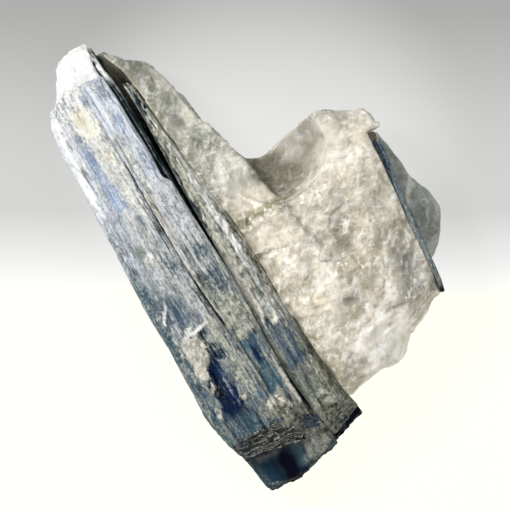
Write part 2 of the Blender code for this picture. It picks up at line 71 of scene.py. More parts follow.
SMOKY = (112, 108, 88)
LILAC_GREY = (170, 167, 158)
AMBER = (160, 150, 112)
RUST = (150, 112, 78)
OLIVE_STAIN = (138, 130, 86)
BROWN = (84, 80, 54)
DEEP_TEAL = (26, 52, 68)
STUB_BLUE = (66, 80, 88)
KHAKI_GREY = (150, 148, 130)
FIN_SMOKY = (128, 130, 120)
PLATE_BLUE = (58, 82, 108)
PALE_GREY = (212, 214, 212)
SIDE_CREAM = (196, 196, 178)
FIN_GREY = (152, 154, 145)
GREY_QUARTZ = (172, 176, 170)
GREEN_GREY = (154, 163, 155)


def linear(colour):
    """A colour in the linear light that shaders work in."""
    share = np.array(colour) / 255
    return np.where(share <= 0.04045, share / 12.92, ((share + 0.055) / 1.055) ** 2.4)


# ---- Noise for whole arrays of points ----


def ease(low, high, value):
    """From 0 at low to 1 at high, with no sharp turns. Low may be the greater of the two."""
    share = np.clip((value - low) / (high - low), 0, 1)
    return share * share * (3 - 2 * share)


def scatter(places, seed):
    """A repeatable number from 0 to 1 for each whole-number place."""
    x, y, z = places.T
    mixed = (x * 73856093) ^ (y * 19349663) ^ (z * 83492791) ^ (seed * 668265263)
    mixed = (mixed & 0x7FFFFFFF) * 1274126177
    mixed = ((mixed ^ (mixed >> 15)) & 0x7FFFFFFF) * 461845907
    return ((mixed >> 12) & 0xFFFF) / 65535


def smooth_noise(points, seed):
    """Noise from 0 to 1 with its knots one unit apart."""
    cell = np.floor(points).astype(np.int64)
    part = ease(0, 1, points - cell)
    total = np.zeros(len(points))
    for corner in itertools.product((0, 1), repeat=3):
        weight = np.prod(np.where(np.array(corner) == 1, part, 1 - part), axis=1)
        total += weight * scatter(cell + np.array(corner), seed)
    return total


def fractal(points, seed, octaves=3):
    """Noise around 0, mostly from -1 to 1, with ever finer detail."""
    total, size = np.zeros(len(points)), 1
    for octave in range(octaves):
        total += size * (smooth_noise(points * 2**octave + 17 * octave, seed + octave) - 0.5)
        size *= 0.5
    return 2 * total


def ridges(points, seed):
    """Noise from 0 to 1 with sharp crests."""
    return 1 - np.abs(2 * smooth_noise(points, seed) - 1)


def near_cells(points, seed):
    """Each loose cell that may hold a point: (its place, the way from its middle, how it leans)."""
    cell = np.floor(points).astype(np.int64)
    for step in itertools.product((-1, 0, 1), repeat=3):
        place = cell + np.array(step)
        away = points - place - np.stack([scatter(place, seed + axis) for axis in range(3)], axis=1)
        lean = np.stack([scatter(place, seed + 3 + axis) - 0.5 for axis in range(3)], axis=1)
        yield place, away, lean


FARTHEST = 9.0


def cells(points, seed, tilt=0.9):
    """For loose cells one unit apart: how high a point stands in its bowl-shaped break, and its number."""
    lowest, number = np.full(len(points), FARTHEST), np.zeros(len(points))
    for place, away, lean in near_cells(points, seed):
        height = (away * away).sum(axis=1) + tilt * (away * lean).sum(axis=1)
        nearer = height < lowest
        lowest = np.where(nearer, height, lowest)
        number = np.where(nearer, scatter(place, seed + 7), number)
    return np.clip(lowest, -0.5, 1.2), number


def facets(points, seed):
    """For loose cells one unit apart: the height of each one's own tilted plane, and its number."""
    nearest = np.full(len(points), FARTHEST)
    height, number = np.zeros(len(points)), np.zeros(len(points))
    for place, away, lean in near_cells(points, seed):
        distance = (away * away).sum(axis=1)
        nearer = distance < nearest
        nearest = np.where(nearer, distance, nearest)
        height = np.where(nearer, (away * lean).sum(axis=1) + 0.3 * (scatter(place, seed + 8) - 0.5), height)
        number = np.where(nearer, scatter(place, seed + 7), number)
    return height, number


# ---- Meshes ----

WELD_REACH = 0.01
SMOOTHING = 2


def add_object(name, data):
    obj = bpy.data.objects.new(name, data)
    bpy.context.scene.collection.objects.link(obj)
    return obj


def vectors_of(items, name):
    """One vector for each item of a mesh, as an array."""
    flat = np.zeros(len(items) * 3)
    items.foreach_get(name, flat)
    return flat.reshape(-1, 3)


def fine_copy(node_name, spacing):
    """A new object of the node's shape in even faces about as wide as the spacing, its points and normals."""
    obj = add_object(node_name + "_surface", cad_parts[node_name].data.copy())
    obj.data.materials.clear()
    weld = obj.modifiers.new("weld", "WELD")
    weld.merge_threshold = WELD_REACH * MM
    remesh = obj.modifiers.new("even", "REMESH")
    remesh.mode = "VOXEL"
    remesh.voxel_size = spacing * MM
    smooth = obj.modifiers.new("smooth", "SMOOTH")
    smooth.iterations = SMOOTHING
    smooth.factor = 0.5
    evaluated = obj.evaluated_get(bpy.context.evaluated_depsgraph_get())
    obj.data = bpy.data.meshes.new_from_object(evaluated)
    obj.modifiers.clear()
    return obj, vectors_of(obj.data.vertices, "co") / MM, vectors_of(obj.data.vertex_normals, "vector")


def move_points(mesh, points):
    mesh.vertices.foreach_set("co", (points * MM).ravel())
    mesh.update()


def keep(mesh, name, values):
    """Stores a number or a colour at each point, under a name that the material reads."""
    if values.ndim == 1:
        kind, field = "FLOAT", "value"
    else:
        kind, field = "FLOAT_COLOR", "color"
        values = np.concatenate([values, np.ones((len(values), 1))], axis=1)
    mesh.attributes.new(name, kind, "POINT").data.foreach_set(field, values.astype(np.float32).ravel())


# ---- Marks and strips ----

# A mark is (x, y, half width, half length, look) or has a turn in degrees before its look, and a strip is
# (look, (y, left x, right x), ...). The look pulls the fields of a blade towards its values: body and tint,
# the colours of the crystal and of its film; film, which covers nearly all at 1 and leaves polished crystal
# below 0; depth and crust, how deep and how crumbly it is carved; and split, how far the edges of sheets
# show. soft and ragged say how its edge looks, where 1 is as usual.


def filmed(share, tint, **more):
    """The look of a chalky film: how much of it there is, and its tint."""
    return {"film": share, "tint": tint, **more}


def bare(body, share, **more):
    """The look of the crystal's own colour, with the share of film that is left on it."""
    return {"body": body, "film": share, **more}


def along(points, stops):
    """A number or a colour that changes along Y, from (y, value) pairs."""
    places, values = zip(*stops)
    if isinstance(values[0], tuple):
        table = np.array([linear(colour) for colour in values])
        return np.stack([np.interp(points[:, 1], places, table[:, band]) for band in range(3)], axis=1)
    return np.interp(points[:, 1], places, values)


def oval(points, place, seed, soft=1, ragged=1):
    """From 0 outside to 1 inside an oval with a ragged edge. Its turn is 0 where the place has none."""
    x, y, half_width, half_length, turn = (*place, 0)[:5]
    angle = math.radians(turn)
    across = (points[:, 0] - x) * math.cos(angle) + (points[:, 1] - y) * math.sin(angle)
    upward = (points[:, 1] - y) * math.cos(angle) - (points[:, 0] - x) * math.sin(angle)
    away = np.hypot(across / half_width, upward / half_length)
    size = min(1.5, half_width)
    rough = fractal(points * (0.7 / size, 0.4 / size, 0.7 / size), seed, 5)
    return 1 - ease(0.9 - 0.5 * soft, 0.95 + 0.5 * soft, away + 0.45 * ragged * rough)


def strip(points, edges, seed, soft=1, ragged=1):
    """From 0 outside to 1 between two lines with ragged edges."""
    x, y, _ = points.T
    places, left, right = zip(*edges)
    left_x, right_x = np.interp(y, places, left), np.interp(y, places, right)
    room = ragged * np.clip(0.45 * (right_x - left_x), 0.1, 1)
    rough = fractal(points * (0.9, 0.35, 0.9), seed, 5)
    inside = np.minimum(x - left_x, right_x - x) + room * rough
    ends = np.minimum(y - places[0], places[-1] - y) + 1.2 * rough
    blur = 0.1 + 0.35 * soft
    return ease(-blur, blur, np.minimum(inside, ends))


def shift_colours(colours, mask, colour):
    """Pulls an array of colours towards one where the mask is."""
    colours += mask[:, None] * (linear(colour) - colours)


def pull(fields, mask, look):
    """Pulls each field that the look names towards its value where the mask is."""
    for name, value in look.items():
        if isinstance(value, tuple):
            shift_colours(fields[name], mask, value)
        elif name in fields:
            fields[name] += mask * (value - fields[name])


def add_marks(fields, points, seen, marks, seed, soft, ragged):
    for number, (*place, look) in enumerate(marks):
        mask = oval(points, place, seed + number, look.get("soft", soft), ragged)
        pull(fields, seen * mask, look)


# The crumbled corner between the broken ends and the side blade: its chips, as (x, y, half width, half
# length, chip size, look), and the marks on it, which reach over more than one blade.
SHATTERED = [
    (-16.4, -31.6, 2.9, 2.6, 1.7, bare(OLIVE, 0.9, tint=CRUST)),
    (-12.3, -38.4, 3.6, 4.6, 2.3, bare(FACET_GREY, 0.55, tint=SIDE_CREAM)),
    (-8, -37.6, 2.8, 4.4, 1.9, bare(FACET_GREY, 0.6, tint=SIDE_CREAM)),
]
CORNER = [
    (-12.2, -38, 1.5, 2.1, 30, bare(FACET_VIOLET, -0.25)),
    (-10.3, -37.4, 0.45, 1.9, -12, filmed(0.95, SIDE_CREAM)),
    (-13.6, -34.9, 1.8, 0.5, -35, filmed(0.9, SIDE_CREAM)),
    (-10.9, -39.3, 0.5, 1.6, 10, filmed(0.8, SIDE_CREAM)),
    (-12.9, -38.3, 0.25, 1.7, 35, bare(INK, -0.6, depth=0.4)),
    (-15.4, -43.4, 2.4, 1, 14, bare(STEEL, 0.6, tint=SIDE_CREAM, soft=1.5)),
    (-14.4, -41.8, 1.7, 1.2, bare(STEEL, 0.72, tint=CRUST, soft=1.5)),
    (-14.7, -33.8, 0.9, 0.4, -40, bare(DARK_OLIVE, 0, depth=0.3)),
    (-14.6, -36.2, 0.25, 0.8, -20, bare(DARK_OLIVE, -0.2)),
    (-16, -35.8, 1.7, 1, -25, bare(OLIVE, 0.86, tint=SIDE_CREAM)),
    (-17.6, -32.7, 1.1, 0.5, -20, bare(DARK_OLIVE, 0.3, soft=1.5)),
    (-15.4, -33, 0.9, 0.8, filmed(0.6, SIDE_CREAM, soft=1.5)),
    (-26.6, -35.6, 1, 2, dict(body=STEEL, split=0.5, soft=1.5)),
    (-16.8, -32.7, 2.1, 1.1, bare(OLIVE, 0.85, tint=OLIVE, soft=0.5)),
    (-16.3, -29.9, 1.6, 0.6, 12, filmed(0.95, CRUST, soft=0.5)),
    (-12.9, -38, 1.4, 1.6, 30, bare(SLATE, -0.1, soft=0.6)),
]

# Each blade's looks, with (y, value) pairs along it. Its right_edge moves outwards: (x where that starts, x
# where it is full, (y, move) pairs).
BROAD_STRIPS = [
    (bare(NAVY, 0.04, depth=0.5, crust=0, soft=0.3), (-35.5, -26.8, -19.5), (-33.5, -27, -19.6),
     (-31, -26.8, -20.2), (-28, -26.371, -21.4), (-27.5, -26.3, -21.275), (-24, -25.8, -20.4),
     (-21, -25, -20.175), (-20, -24.4, -20.1), (-18, -23.2, -20.177), (-16.4, -22.3, -20.238),
     (-12.2, -21.9, -20.4)),
    (bare(DEEP_TEAL, 0.16, ragged=0.6), (-17.5, -22.8, -20.1), (-12, -22.2, -20.3)),
    (bare(PALE_BLUE, 0.36, tint=PALE_LAVENDER, depth=0.15), (8, -23.3, -21.6), (19, -23.7, -21),
     (29.5, -23.9, -21.2)),
    (filmed(0.93, CRUST, crust=1, soft=0.3), (-24, -26.4, -25.6), (-21, -24.7, -24.2), (-18, -26.9, -23),
     (-13, -26.9, -21.9), (-11.6, -26.9, -22.1)),
    (bare(TEAL, 0.28), (-34, -28.6, -26.6), (-20, -29.2, -26.8), (8, -27.4, -26.8)),
    (filmed(0.98, WHITE_LAVENDER), (12, -28.5, -24.5), (38, -27, -24.1)),
    (filmed(1, CHALK), (14, -26.6, -25.2), (36, -25.6, -24.3)),
    (filmed(0.86, SHELL), (9, -20.4, -17.6), (30, -20.6, -17.3)),
    (filmed(0.74, PALE_GREY), (-2, -23.8, -19.4), (14, -23.4, -19.6)),
    (filmed(0.7, PALE_LAVENDER), (4, -27.4, -24.4), (16, -26.8, -24.6)),
    (bare(TEAL, 0.24), (-16, -28.8, -26.2), (3, -28.2, -26.4)),
    (filmed(0.62, PALE_GREY), (-16, -20, -17.6), (6, -20, -17.6)),
    (bare(DARK_OLIVE, 0.3, soft=0.4), (-14, -17.3, -16.6), (-5.5, -17.8, -16.6), (9, -17.8, -16.6),
     (24, -17.3, -16.6), (30, -17.2, -16.6)),
]
BROAD_MARKS = [
    (-21.5, 37.5, 1.3, 0.9, 20, bare(LAVENDER, 0.42)),
    (-17.3, 36.8, 0.7, 1.6, bare(LAVENDER, 0.4)),
    (-23.2, 33, 1.2, 1.6, -10, bare(PALE_LAVENDER, 0.45)),
    (-23.8, 31, 0.9, 1, bare(LAVENDER, 0.35)),
    (-22.2, 30.4, 0.7, 0.9, bare(LAVENDER, 0.4)),
    (-17.7, 32.8, 0.5, 1.2, bare(LAVENDER, 0.35)),
    (-19.8, 36.4, 0.7, 1.2, 10, bare(GREY_BLUE, 0.5)),
    (-24.4, 24, 0.5, 1.5, bare(LAVENDER, 0.5)),
    (-20, 33.5, 1.3, 2.2, filmed(1, BUFF)),
    (-19.4, 31, 1.5, 1.5, filmed(1.05, CREAM)),
    (-19, 25.3, 0.7, 1.4, dict(tint=BUFF)),
    (-22.7, 26.4, 0.9, 2.4, -8, bare(PALE_BLUE, 0.3)),
    (-22.5, 3.2, 0.9, 0.8, filmed(0.75, CRUST)),
    (-22.5, 4.8, 0.8, 0.7, filmed(0.75, CHALK)),
    (-23.5, 6.2, 1, 1.4, filmed(0.5, OLIVE)),
    (-19.5, 2, 1.2, 2.2, bare(TEAL, 0.4)),
    (-26.3, 2.5, 0.8, 2.4, bare(STEEL, 0.36)),
    (-25.6, -6, 1.8, 3.6, bare(SLATE, 0.3)),
    (-23.4, -7.4, 1.7, 3.4, bare(SLATE, 0.1, depth=0.3)),
    (-25.6, -6, 0.35, 2.3, -30, filmed(0.9, CHALK)),
    (-22.6, -11.6, 3.2, 0.4, 4, filmed(0.95, CHALK)),
    (-23.3, -10.7, 0.7, 0.6, filmed(0.9, CHALK)),
    (-18.8, -22, 1.3, 8, filmed(0.56, SIDE_CREAM, crust=0.6)),
    (-18.8, -14, 1.2, 3.6, filmed(0.7, SIDE_CREAM, crust=0.4)),
    (-20.9, -26.9, 1.4, 1.3, filmed(0.95, CRUST, crust=0.9, depth=-0.1)),
    (-26.6, -27, 0.5, 1.1, filmed(0.8, CRUST)),
    (-24.2, -23.6, 0.25, 0.3, filmed(1, CHALK)),
    (-24.3, -24, 0.7, 1.3, bare(INK, 0)),
    (-25.6, -31.5, 0.9, 2.2, bare(SLATE, 0.2)),
    (-22.4, -23.6, 0.3, 3.6, -3, bare(BLUE, 0.25)),
    (-22.8, -31.4, 2.2, 1.8, bare(TEAL, 0.24, soft=1.6)),
    (-23.6, -33.2, 3, 0.8, bare(TEAL, 0.34)),
    (-21.4, -21, 0.3, 3.2, -3, bare(STEEL, 0.3)),
    (-27.5, -21.4, 0.4, 1, bare(NAVY, 0.15)),
    (-27.3, -26.4, 0.4, 1.2, bare(NAVY, 0.15)),
    (-27.3, -31, 0.4, 1.2, bare(SLATE, 0.2)),
]
BROAD = dict(
    strips=BROAD_STRIPS, marks=BROAD_MARKS, split_end=1,
    body=[(-38, SLATE), (-12, STEEL), (0, GREY_BLUE), (10, GREY_BLUE), (18, LAVENDER), (40, LAVENDER)],
    film=[(-38, 0.26), (-20, 0.38), (-8, 0.4), (2, 0.46), (6, 0.44), (14, 0.52), (22, 0.84), (30, 0.9),
          (40, 0.85)],
    tint=[(-38, OLIVE), (-12, CRUST), (-2, PALE_GREY), (14, PALE_LAVENDER), (22, SHELL), (40, CHALK)],
)
NARROW_STRIPS = [
    (bare(TEAL, 0.08, depth=0.3, ragged=0.6), (-29, -16.3, -13.3), (-24, -16.2, -13.2),
     (-18.5, -15.9, -13.6)),
    (bare(SLATE, 0.28, depth=0.1), (-9, -15, -12), (2, -15, -11.9)),
    (filmed(0.82, SHELL), (12, -16.9, -15.2), (40, -16.7, -15)),
    (filmed(0.7, SIDE_CREAM, crust=0.7), (-17, -16.4, -12), (-8, -15.6, -12)),
    (filmed(0.75, CRUST), (-33, -13.2, -11.8), (-22, -13.2, -11.9)),
    (filmed(0.95, WHITE_LAVENDER), (16.5, -13.9, -12.3), (38, -13.9, -12.3)),
    (filmed(0.95, WHITE_LAVENDER), (28, -16.7, -15.5), (40, -16.7, -15.3)),
    (bare(OLIVE, 0.8, tint=CRUST), (-14, -17.3, -16.2), (16, -17.4, -16.3)),
    (filmed(0.94, PALE_GREY), (-2.5, -17.3, -15), (9, -17.4, -15.2)),
    (bare(SLATE, 0.34), (-10, -16.5, -14.8), (-3, -16.6, -15)),
    (bare(DARK_OLIVE, 0.3, depth=0.4, soft=0.3), (-13, -15.95, -15.85), (-4, -16, -15.72),
     (10, -15.9, -15.8)),
]
NARROW_MARKS = [
    (-14, 36, 1.2, 2.4, bare(LAVENDER, 0.4)),
    (-14, 30, 0.6, 2.4, bare(PALE_BLUE, 0.3)),
    (-13.6, 20, 0.6, 4, bare(PALE_BLUE, 0.42)),
    (-14.8, -21, 0.8, 2.2, bare(NAVY, 0)),
    (-14.5, -25.5, 0.9, 2, bare(TEAL, 0.2)),
    # The dark teal spots here and below are painted shade in small carved pits.
    (-12.5, -17.5, 0.4, 0.6, bare(DARK_TEAL_AND_SHADE, 0, depth=0.4)),
    (-15.3, -12.3, 0.4, 0.4, bare(DARK_TEAL_AND_SHADE, 0, depth=0.4)),
    (-16, -30, 1.3, 0.6, 10, filmed(0.9, CRUST, crust=1)),
    (-16.5, -31.6, 1.6, 1.2, filmed(0.95, CRUST, crust=1)),
    (-14.7, -34, 0.4, 0.5, bare(DARK_TEAL_AND_SHADE, 0, depth=0.5)),
    (-13.6, -31.5, 0.4, 0.7, bare(DARK_TEAL_AND_SHADE, 0, depth=0.4)),
]
NARROW = dict(
    strips=NARROW_STRIPS, marks=NARROW_MARKS, split_end=1,
    right_edge=(-14.6, -13, [(14, 0), (17, 0.45), (28, 0.5), (32, 0.75), (40, 0.75)]),
    body=[(-38, SLATE), (-16, STEEL), (-8, STEEL), (8, GREY_BLUE), (18, GREY_BLUE), (30, PALE_BLUE),
          (40, LAVENDER)],
    film=[(-38, 0.48), (-20, 0.42), (-9, 0.48), (-3, 0.56), (6, 0.8), (12, 0.82), (18, 0.82), (28, 0.84),
          (40, 0.92)],
    tint=[(-38, OLIVE), (-12, SIDE_CREAM), (0, PALE_GREY), (20, PALE_LAVENDER), (40, PALE_LAVENDER)],
)
TIPPED_STRIPS = [
    # The first and last strips are dark teal painted shade: in the trench that lies in the narrow blade's
    # shadow, and in the crevice beside the tip.
    (bare(DARK_TEAL_AND_SHADE, -0.1, soft=0.3), (16, -12.4, -11.4), (41, -12.4, -11.9)),
    # The next two thin pale strips are painted highlights along lath edges in that trench.
    (filmed(0.8, PALE_LAVENDER, soft=0.2), (10, -11.4, -11.1), (38, -11.4, -11.1)),
    (filmed(0.75, PALE_LAVENDER, soft=0.2), (10, -10.8, -10.5), (36, -10.7, -10.4)),
    (filmed(0.9, CHALK, soft=0.2), (38, -11.7, -11.3), (43, -11.7, -11.3)),
    (bare(DARK_TEAL_AND_SHADE, -0.2, depth=0.6, soft=0.2), (38, -12.3, -11.9), (44, -12.4, -12.1)),
]
TIPPED_MARKS = [
    (-18.3, 45.7, 0.5, 0.4, bare(LAVENDER, 0.5)),
    (-14, 45.6, 0.5, 0.4, bare(LAVENDER, 0.5)),
    # The dark teal patch beside the tip is painted shade.
    (-11.2, 43.6, 0.6, 2.4, bare(DARK_TEAL_AND_SHADE, 0.15)),
    (-24.6, -38, 3.4, 1.4, bare(STUB_LILAC, 0.1, tint=STUB_LILAC, soft=1.5)),
]
TIPPED = dict(
    strips=TIPPED_STRIPS, marks=TIPPED_MARKS, split_end=1,
    # Its dark teal body, where it shows in the trench, is painted shade.
    body=[(-40, END_GREY), (-20, DARK_TEAL_AND_SHADE), (36, DARK_TEAL_AND_SHADE), (38.5, PALE_LAVENDER), (46, CHALK)],
    film=[(-40, 0.1), (36, 0.1), (39, 1), (46, 1.1)],
    tint=[(-40, OLIVE), (36, GREY_BLUE), (38.5, CHALK), (46, CHALK)],
)
LOWER_STRIPS = [
    (bare(DEEP_TEAL, -0.3, soft=2, ragged=0.3), (-47, -27.5, -22), (-38.8, -27.5, -22.4)),
    (bare(INK, -0.8, soft=3.6, ragged=0.3), (-47, -22.6, -18.8), (-42, -22.9, -18.4), (-38, -22.2, -19.6)),
    (bare(STUB_BLUE, 0, soft=2, ragged=0.5), (-47, -17.4, -9), (-38, -17.4, -9)),
]
LOWER_MARKS = [
    (-24.2, -38.9, 2.8, 1.1, bare(STUB_LILAC, 0.1, tint=STUB_LILAC, soft=1.5)),
    (-26, -42, 0.8, 3.6, 5, bare(STUB_BLUE, 0.1, soft=1.5)),
    (-24.4, -44.9, 1.8, 0.7, -8, bare(STUB_BLUE, 0.3, tint=PALE_GREY)),
    (-16.2, -41, 2, 2.4, bare(STUB_BLUE, 0.1, soft=1.5)),
    (-13, -43.6, 3.4, 0.9, 15, filmed(0.75, CRUST)),
]
LOWER = dict(
    strips=LOWER_STRIPS, marks=LOWER_MARKS,
    body=[(-47, INK), (-45, NAVY), (-44, TEAL), (-36, TEAL), (-20, SLATE), (34, DARK_TEAL_AND_SHADE), (45, DARK_OLIVE)],
    film=[(-47, -0.3), (-36, -0.3), (-20, 0.2), (34, 0.1), (40, 0.35), (46, 0.35)],
    tint=[(-47, OLIVE), (40, OLIVE)],
)
# Painted light: a full film of pale khaki grey over the rear blade's top beside the tip, where the
# white-tipped blade's shadow falls, to lighten it.
REAR_STRIPS = [
    (bare(OLIVE, 1.05, tint=KHAKI_GREY), (30, -10.2, -6), (45, -11, -8)),
]
# The dark teal patch beside the tip is painted shade.
REAR_MARKS = [(-11.4, 43.4, 0.7, 2.4, bare(DARK_TEAL_AND_SHADE, 0))]
REAR = dict(
    strips=REAR_STRIPS, marks=REAR_MARKS,
    body=[(-46, INK), (-36, INK), (-30, NAVY), (26, DARK_TEAL_AND_SHADE), (32, DARK_OLIVE), (46, DARK_OLIVE)],
    film=[(-46, -0.3), (-36, -0.3), (-30, 0.05), (26, 0.1), (32, 0.4), (45, 0.5)],
    tint=[(-46, OLIVE), (40, OLIVE)],
)
SIDE_STRIPS = [
    (filmed(0.72, SIDE_CREAM), (-33, -7.6, -4.8), (-26, -7.8, -5)),
    (filmed(0.68, PALE_GREY), (-18, -8.3, -5.8), (-8, -8.3, -5.9)),
    (filmed(0.84, PALE_GREY, soft=1.6), (-9, -8.3, -5.8), (4, -8.3, -5.9)),
    # These two pale strips are chalky film, painted paler still to make up for the shade where the right part
    # slopes away from the lamp: partly painted light.
    (filmed(1, SHELL, ragged=0.5), (1, -8.4, -5.6), (12, -8.4, -6), (35, -8.5, -6.8)),
    (filmed(1.1, CHALK, ragged=0.5), (-3, -8.2, -5.6), (15, -8.2, -5.9)),
    (bare(DARK_OLIVE, 0, depth=0.35, soft=0.2), (-14, -8.4, -8.2), (2, -8.4, -8.2), (32, -8.9, -8.7)),
    (bare(SLATE, 0.2), (-27, -10.8, -6.4), (-17.5, -10.5, -6.6)),
    # The dark teal strip is painted shade in the trench left of the side blade, where the front blades'
    # shadow falls; the strip after it carves the trench deeper.
    (bare(DARK_TEAL_AND_SHADE, -0.1, soft=0.4, ragged=0.4), (-3, -12.6, -10.6), (14, -12.6, -10.1), (20, -12.45, -9.8),
     (25, -12.325, -9.7), (28, -12.25, -9.4), (31, -12.175, -8.5), (38, -12, -8)),
    (dict(depth=1.4, soft=0.4, ragged=0.4), (14, -12.6, -10.3), (20, -12.45, -9.8), (25, -12.325, -9.5),
     (30, -12.2, -9), (38, -12, -8.4)),
    # Painted shade: a brown band along the side blade's right edge, where the crevice to the quartz lies.
    (bare(BROWN, 0.3, ragged=0.5), (-38, -4.6, -3), (-20, -5.3, -3.74), (10, -6.3, -4.973), (35, -7.1, -6)),
]
SIDE_MARKS = [
    (-7.7, 34.5, 0.8, 2, filmed(1, CREAM)),
    (-9.5, 9, 0.3, 0.5, bare(DARK_OLIVE, 0.2, depth=0.2)),
    (-7.9, -16.3, 0.35, 2.2, -25, filmed(0.95, CREAM)),
    (-7, -13.5, 0.35, 2.4, -15, filmed(0.95, CREAM)),
    (-9.8, -14.5, 0.35, 2, -15, filmed(0.9, CREAM)),
    (-8.9, -34, 0.5, 3.4, 12, bare(SLATE, 0.4)),
    (-8.2, -41, 1.6, 1, bare(TEAL, 0.2)),
    (-5, -36.5, 1.2, 2, filmed(0.5, OLIVE)),
    # The last mark, dark teal, is painted shade in the trench.
    (-9.7, -17, 0.4, 0.9, bare(DARK_TEAL_AND_SHADE, 0)),
]
SIDE = dict(
    strips=SIDE_STRIPS, marks=SIDE_MARKS,
    crust=[(-18, 0), (-14, 0.8), (34, 0.8)],
    body=[(-43, FACET_GREY), (-28, FACET_GREY), (-18, STEEL), (-8, OLIVE), (37, OLIVE)],
    film=[(-43, 0.6), (-28, 0.56), (-18, 0.55), (-12, 0.9), (0, 0.94), (6, 0.87), (12, 0.83), (30, 0.84),
          (37, 0.95)],
    tint=[(-43, OLIVE), (-26, OLIVE), (-14, CRUST), (20, SIDE_CREAM), (37, CREAM)],
)
EDGE_MARKS = [(21.5, -29.4, 1, 0.6, bare(INK, 0))]
EDGE = dict(
    strips=[], marks=EDGE_MARKS,
    right_edge=(22, 26, [(-30, 0.1), (-10, 0.2), (0, 0.5), (4, 0.5)]),
    body=[(-30, STEEL), (-10, STEEL), (-5, PLATE_BLUE), (1, PLATE_BLUE), (2, LILAC_GREY), (4, CRUST)],
    film=[(-30, 0.45), (-6, 0.5), (-3, 0.4), (1, 0.4), (2, 1), (4, 1.1)],
    tint=[(-30, OLIVE), (-8, GREY_BLUE), (1, GREY_BLUE), (2, CRUST), (4, QUARTZ_WHITE)],
)

# The sheets that a blade splits into: how thick they are, and how much they fall from left to right.
SHEET, SHEET_SLOPE = 0.45, 0.06
# The y of the crumbled corner's upper end, and of the brink above the broken ends.
CORNER_TOP, BRINK = -27, -33.4


def sheets(points, normals, seed):
    """Thin sheets split apart on the broken ends: (where they are, how far each stands back)."""
    x, y, z = points.T
    broken = ease(0.15, 0.4, -normals[:, 1]) * ease(BRINK, BRINK - 0.8, y)
    last = np.interp(y, (-39, -34), (-14, -17.2))
    broken *= ease(last, last - 1.4, x + 0.6 * fractal(points / 1.6, seed + 5))
    level = (z + SHEET_SLOPE * x) / (2 * SHEET)
    layer = np.floor(level + 0.3 * fractal(points / 9, seed, 2))
    stretch = np.floor(x / 3.5 + 0.7 * np.sin(layer * 2.3))
    back = scatter(np.stack([layer, stretch, layer * 0], axis=1).astype(np.int64), seed)
    return broken, broken * back


def marked(points, normals, style, seed):
    """The fields of a kyanite blade: its colours, film, crust and the depths that it is carved to."""
    fields = {name: along(points, style[name]) for name in ("body", "tint", "film")}
    fields["crust"] = along(points, style.get("crust", [(0, 0)]))
    fields["depth"] = np.zeros(len(points))
    split, back = sheets(points, normals, seed + 90)
    fields["split"] = split * style.get("split_end", 0)
    fields["sheet"] = back * style.get("split_end", 0)
    up = normals[:, 2]
    seen = ease(-0.1, 0.35, up)
    for number, (look, *edges) in enumerate(style["strips"]):
        mask = strip(points, edges, seed + number, look.get("soft", 1), look.get("ragged", 1))
        pull(fields, seen * mask, look)
    add_marks(fields, points, seen, style["marks"], seed + 40, 1, 1)
    pull(fields, fields["split"], bare(END_GREY, 0.1, tint=OLIVE, crust=0))
    chips = np.zeros(len(points))
    for *place, size, look in SHATTERED:
        where = oval(points, place, 900, 0.6) * (points[:, 1] < CORNER_TOP)
        height, number = facets(points / size, 910)
        pull(fields, 0.75 * where, look)
        for name in ("body", "tint"):
            fields[name] *= (1 + where * (1.1 * number - 0.55))[:, None]
        chips += where * (0.5 + 1.5 * height)
    fields["chips"] = chips * ease(-0.3, 0.2, up - normals[:, 1])
    add_marks(fields, points, ease(-0.15, 0.1, up), CORNER, 920, 0.2, 0.4)
    return fields


# ---- Node trees ----


def feed(tree, made, **inputs):
    """Sets a node's inputs, given by name or as in_0, in_1 by place, to values or sockets."""
    for key, value in inputs.items():
        socket = made.inputs[int(key[3:]) if key.startswith("in_") else key.replace("_", " ")]
        if isinstance(value, bpy.types.NodeSocket):
            tree.links.new(value, socket)
        else:
            socket.default_value = value


def node(tree, kind, settings=None, **inputs):
    made = tree.nodes.new("ShaderNode" + kind)
    for key, value in (settings or {}).items():
        setattr(made, key, value)
    feed(tree, made, **inputs)
    return made


def maths(tree, operation, first, second=0, third=0):
    return node(tree, "Math", {"operation": operation}, in_0=first, in_1=second, in_2=third).outputs[0]


def vector_maths(tree, operation, *values, output=0):
    inputs = {"in_%d" % place: value for place, value in enumerate(values)}
    return node(tree, "VectorMath", {"operation": operation}, **inputs).outputs[output]


def dot(tree, first, second):
    return vector_maths(tree, "DOT_PRODUCT", first, second, output="Value")


def remap(tree, value, low, high, to_low=0, to_high=1):
    """A smooth step from one value at low to another at high."""
    return node(tree, "MapRange", {"interpolation_type": "SMOOTHSTEP"}, in_0=value, in_1=low, in_2=high,
                in_3=to_low, in_4=to_high).outputs[0]


def blend(tree, share, first, second):
    return node(tree, "Mix", {"data_type": "RGBA"}, in_0=share, in_6=first, in_7=second).outputs[2]


def product(tree, *parts):
    """The product of sockets and of remaps, which are given as (value, low, high, ...)."""
    total = None
    for part in parts:
        value = remap(tree, *part) if isinstance(part, tuple) else part
        total = value if total is None else maths(tree, "MULTIPLY", total, value)
    return total


def mixture(tree, *parts):
    """The sum of values times weights."""
    total = 0
    for value, weight in parts:
        total = maths(tree, "MULTIPLY_ADD", value, weight, total)
    return total


def rest_of(tree, share):
    """One minus a share."""
    return maths(tree, "SUBTRACT", 1, share)


def attribute(tree, name, output="Fac"):
    return node(tree, "Attribute", {"attribute_name": name}).outputs[output]


def scaled_colour(tree, name, shade):
    """The colour that the mesh keeps under a name, times a shade."""
    colour = attribute(tree, name, "Color")
    return node(tree, "VectorMath", {"operation": "SCALE"}, in_0=colour, Scale=shade).outputs[0]


def object_place(tree):
    return node(tree, "TexCoord").outputs["Object"]


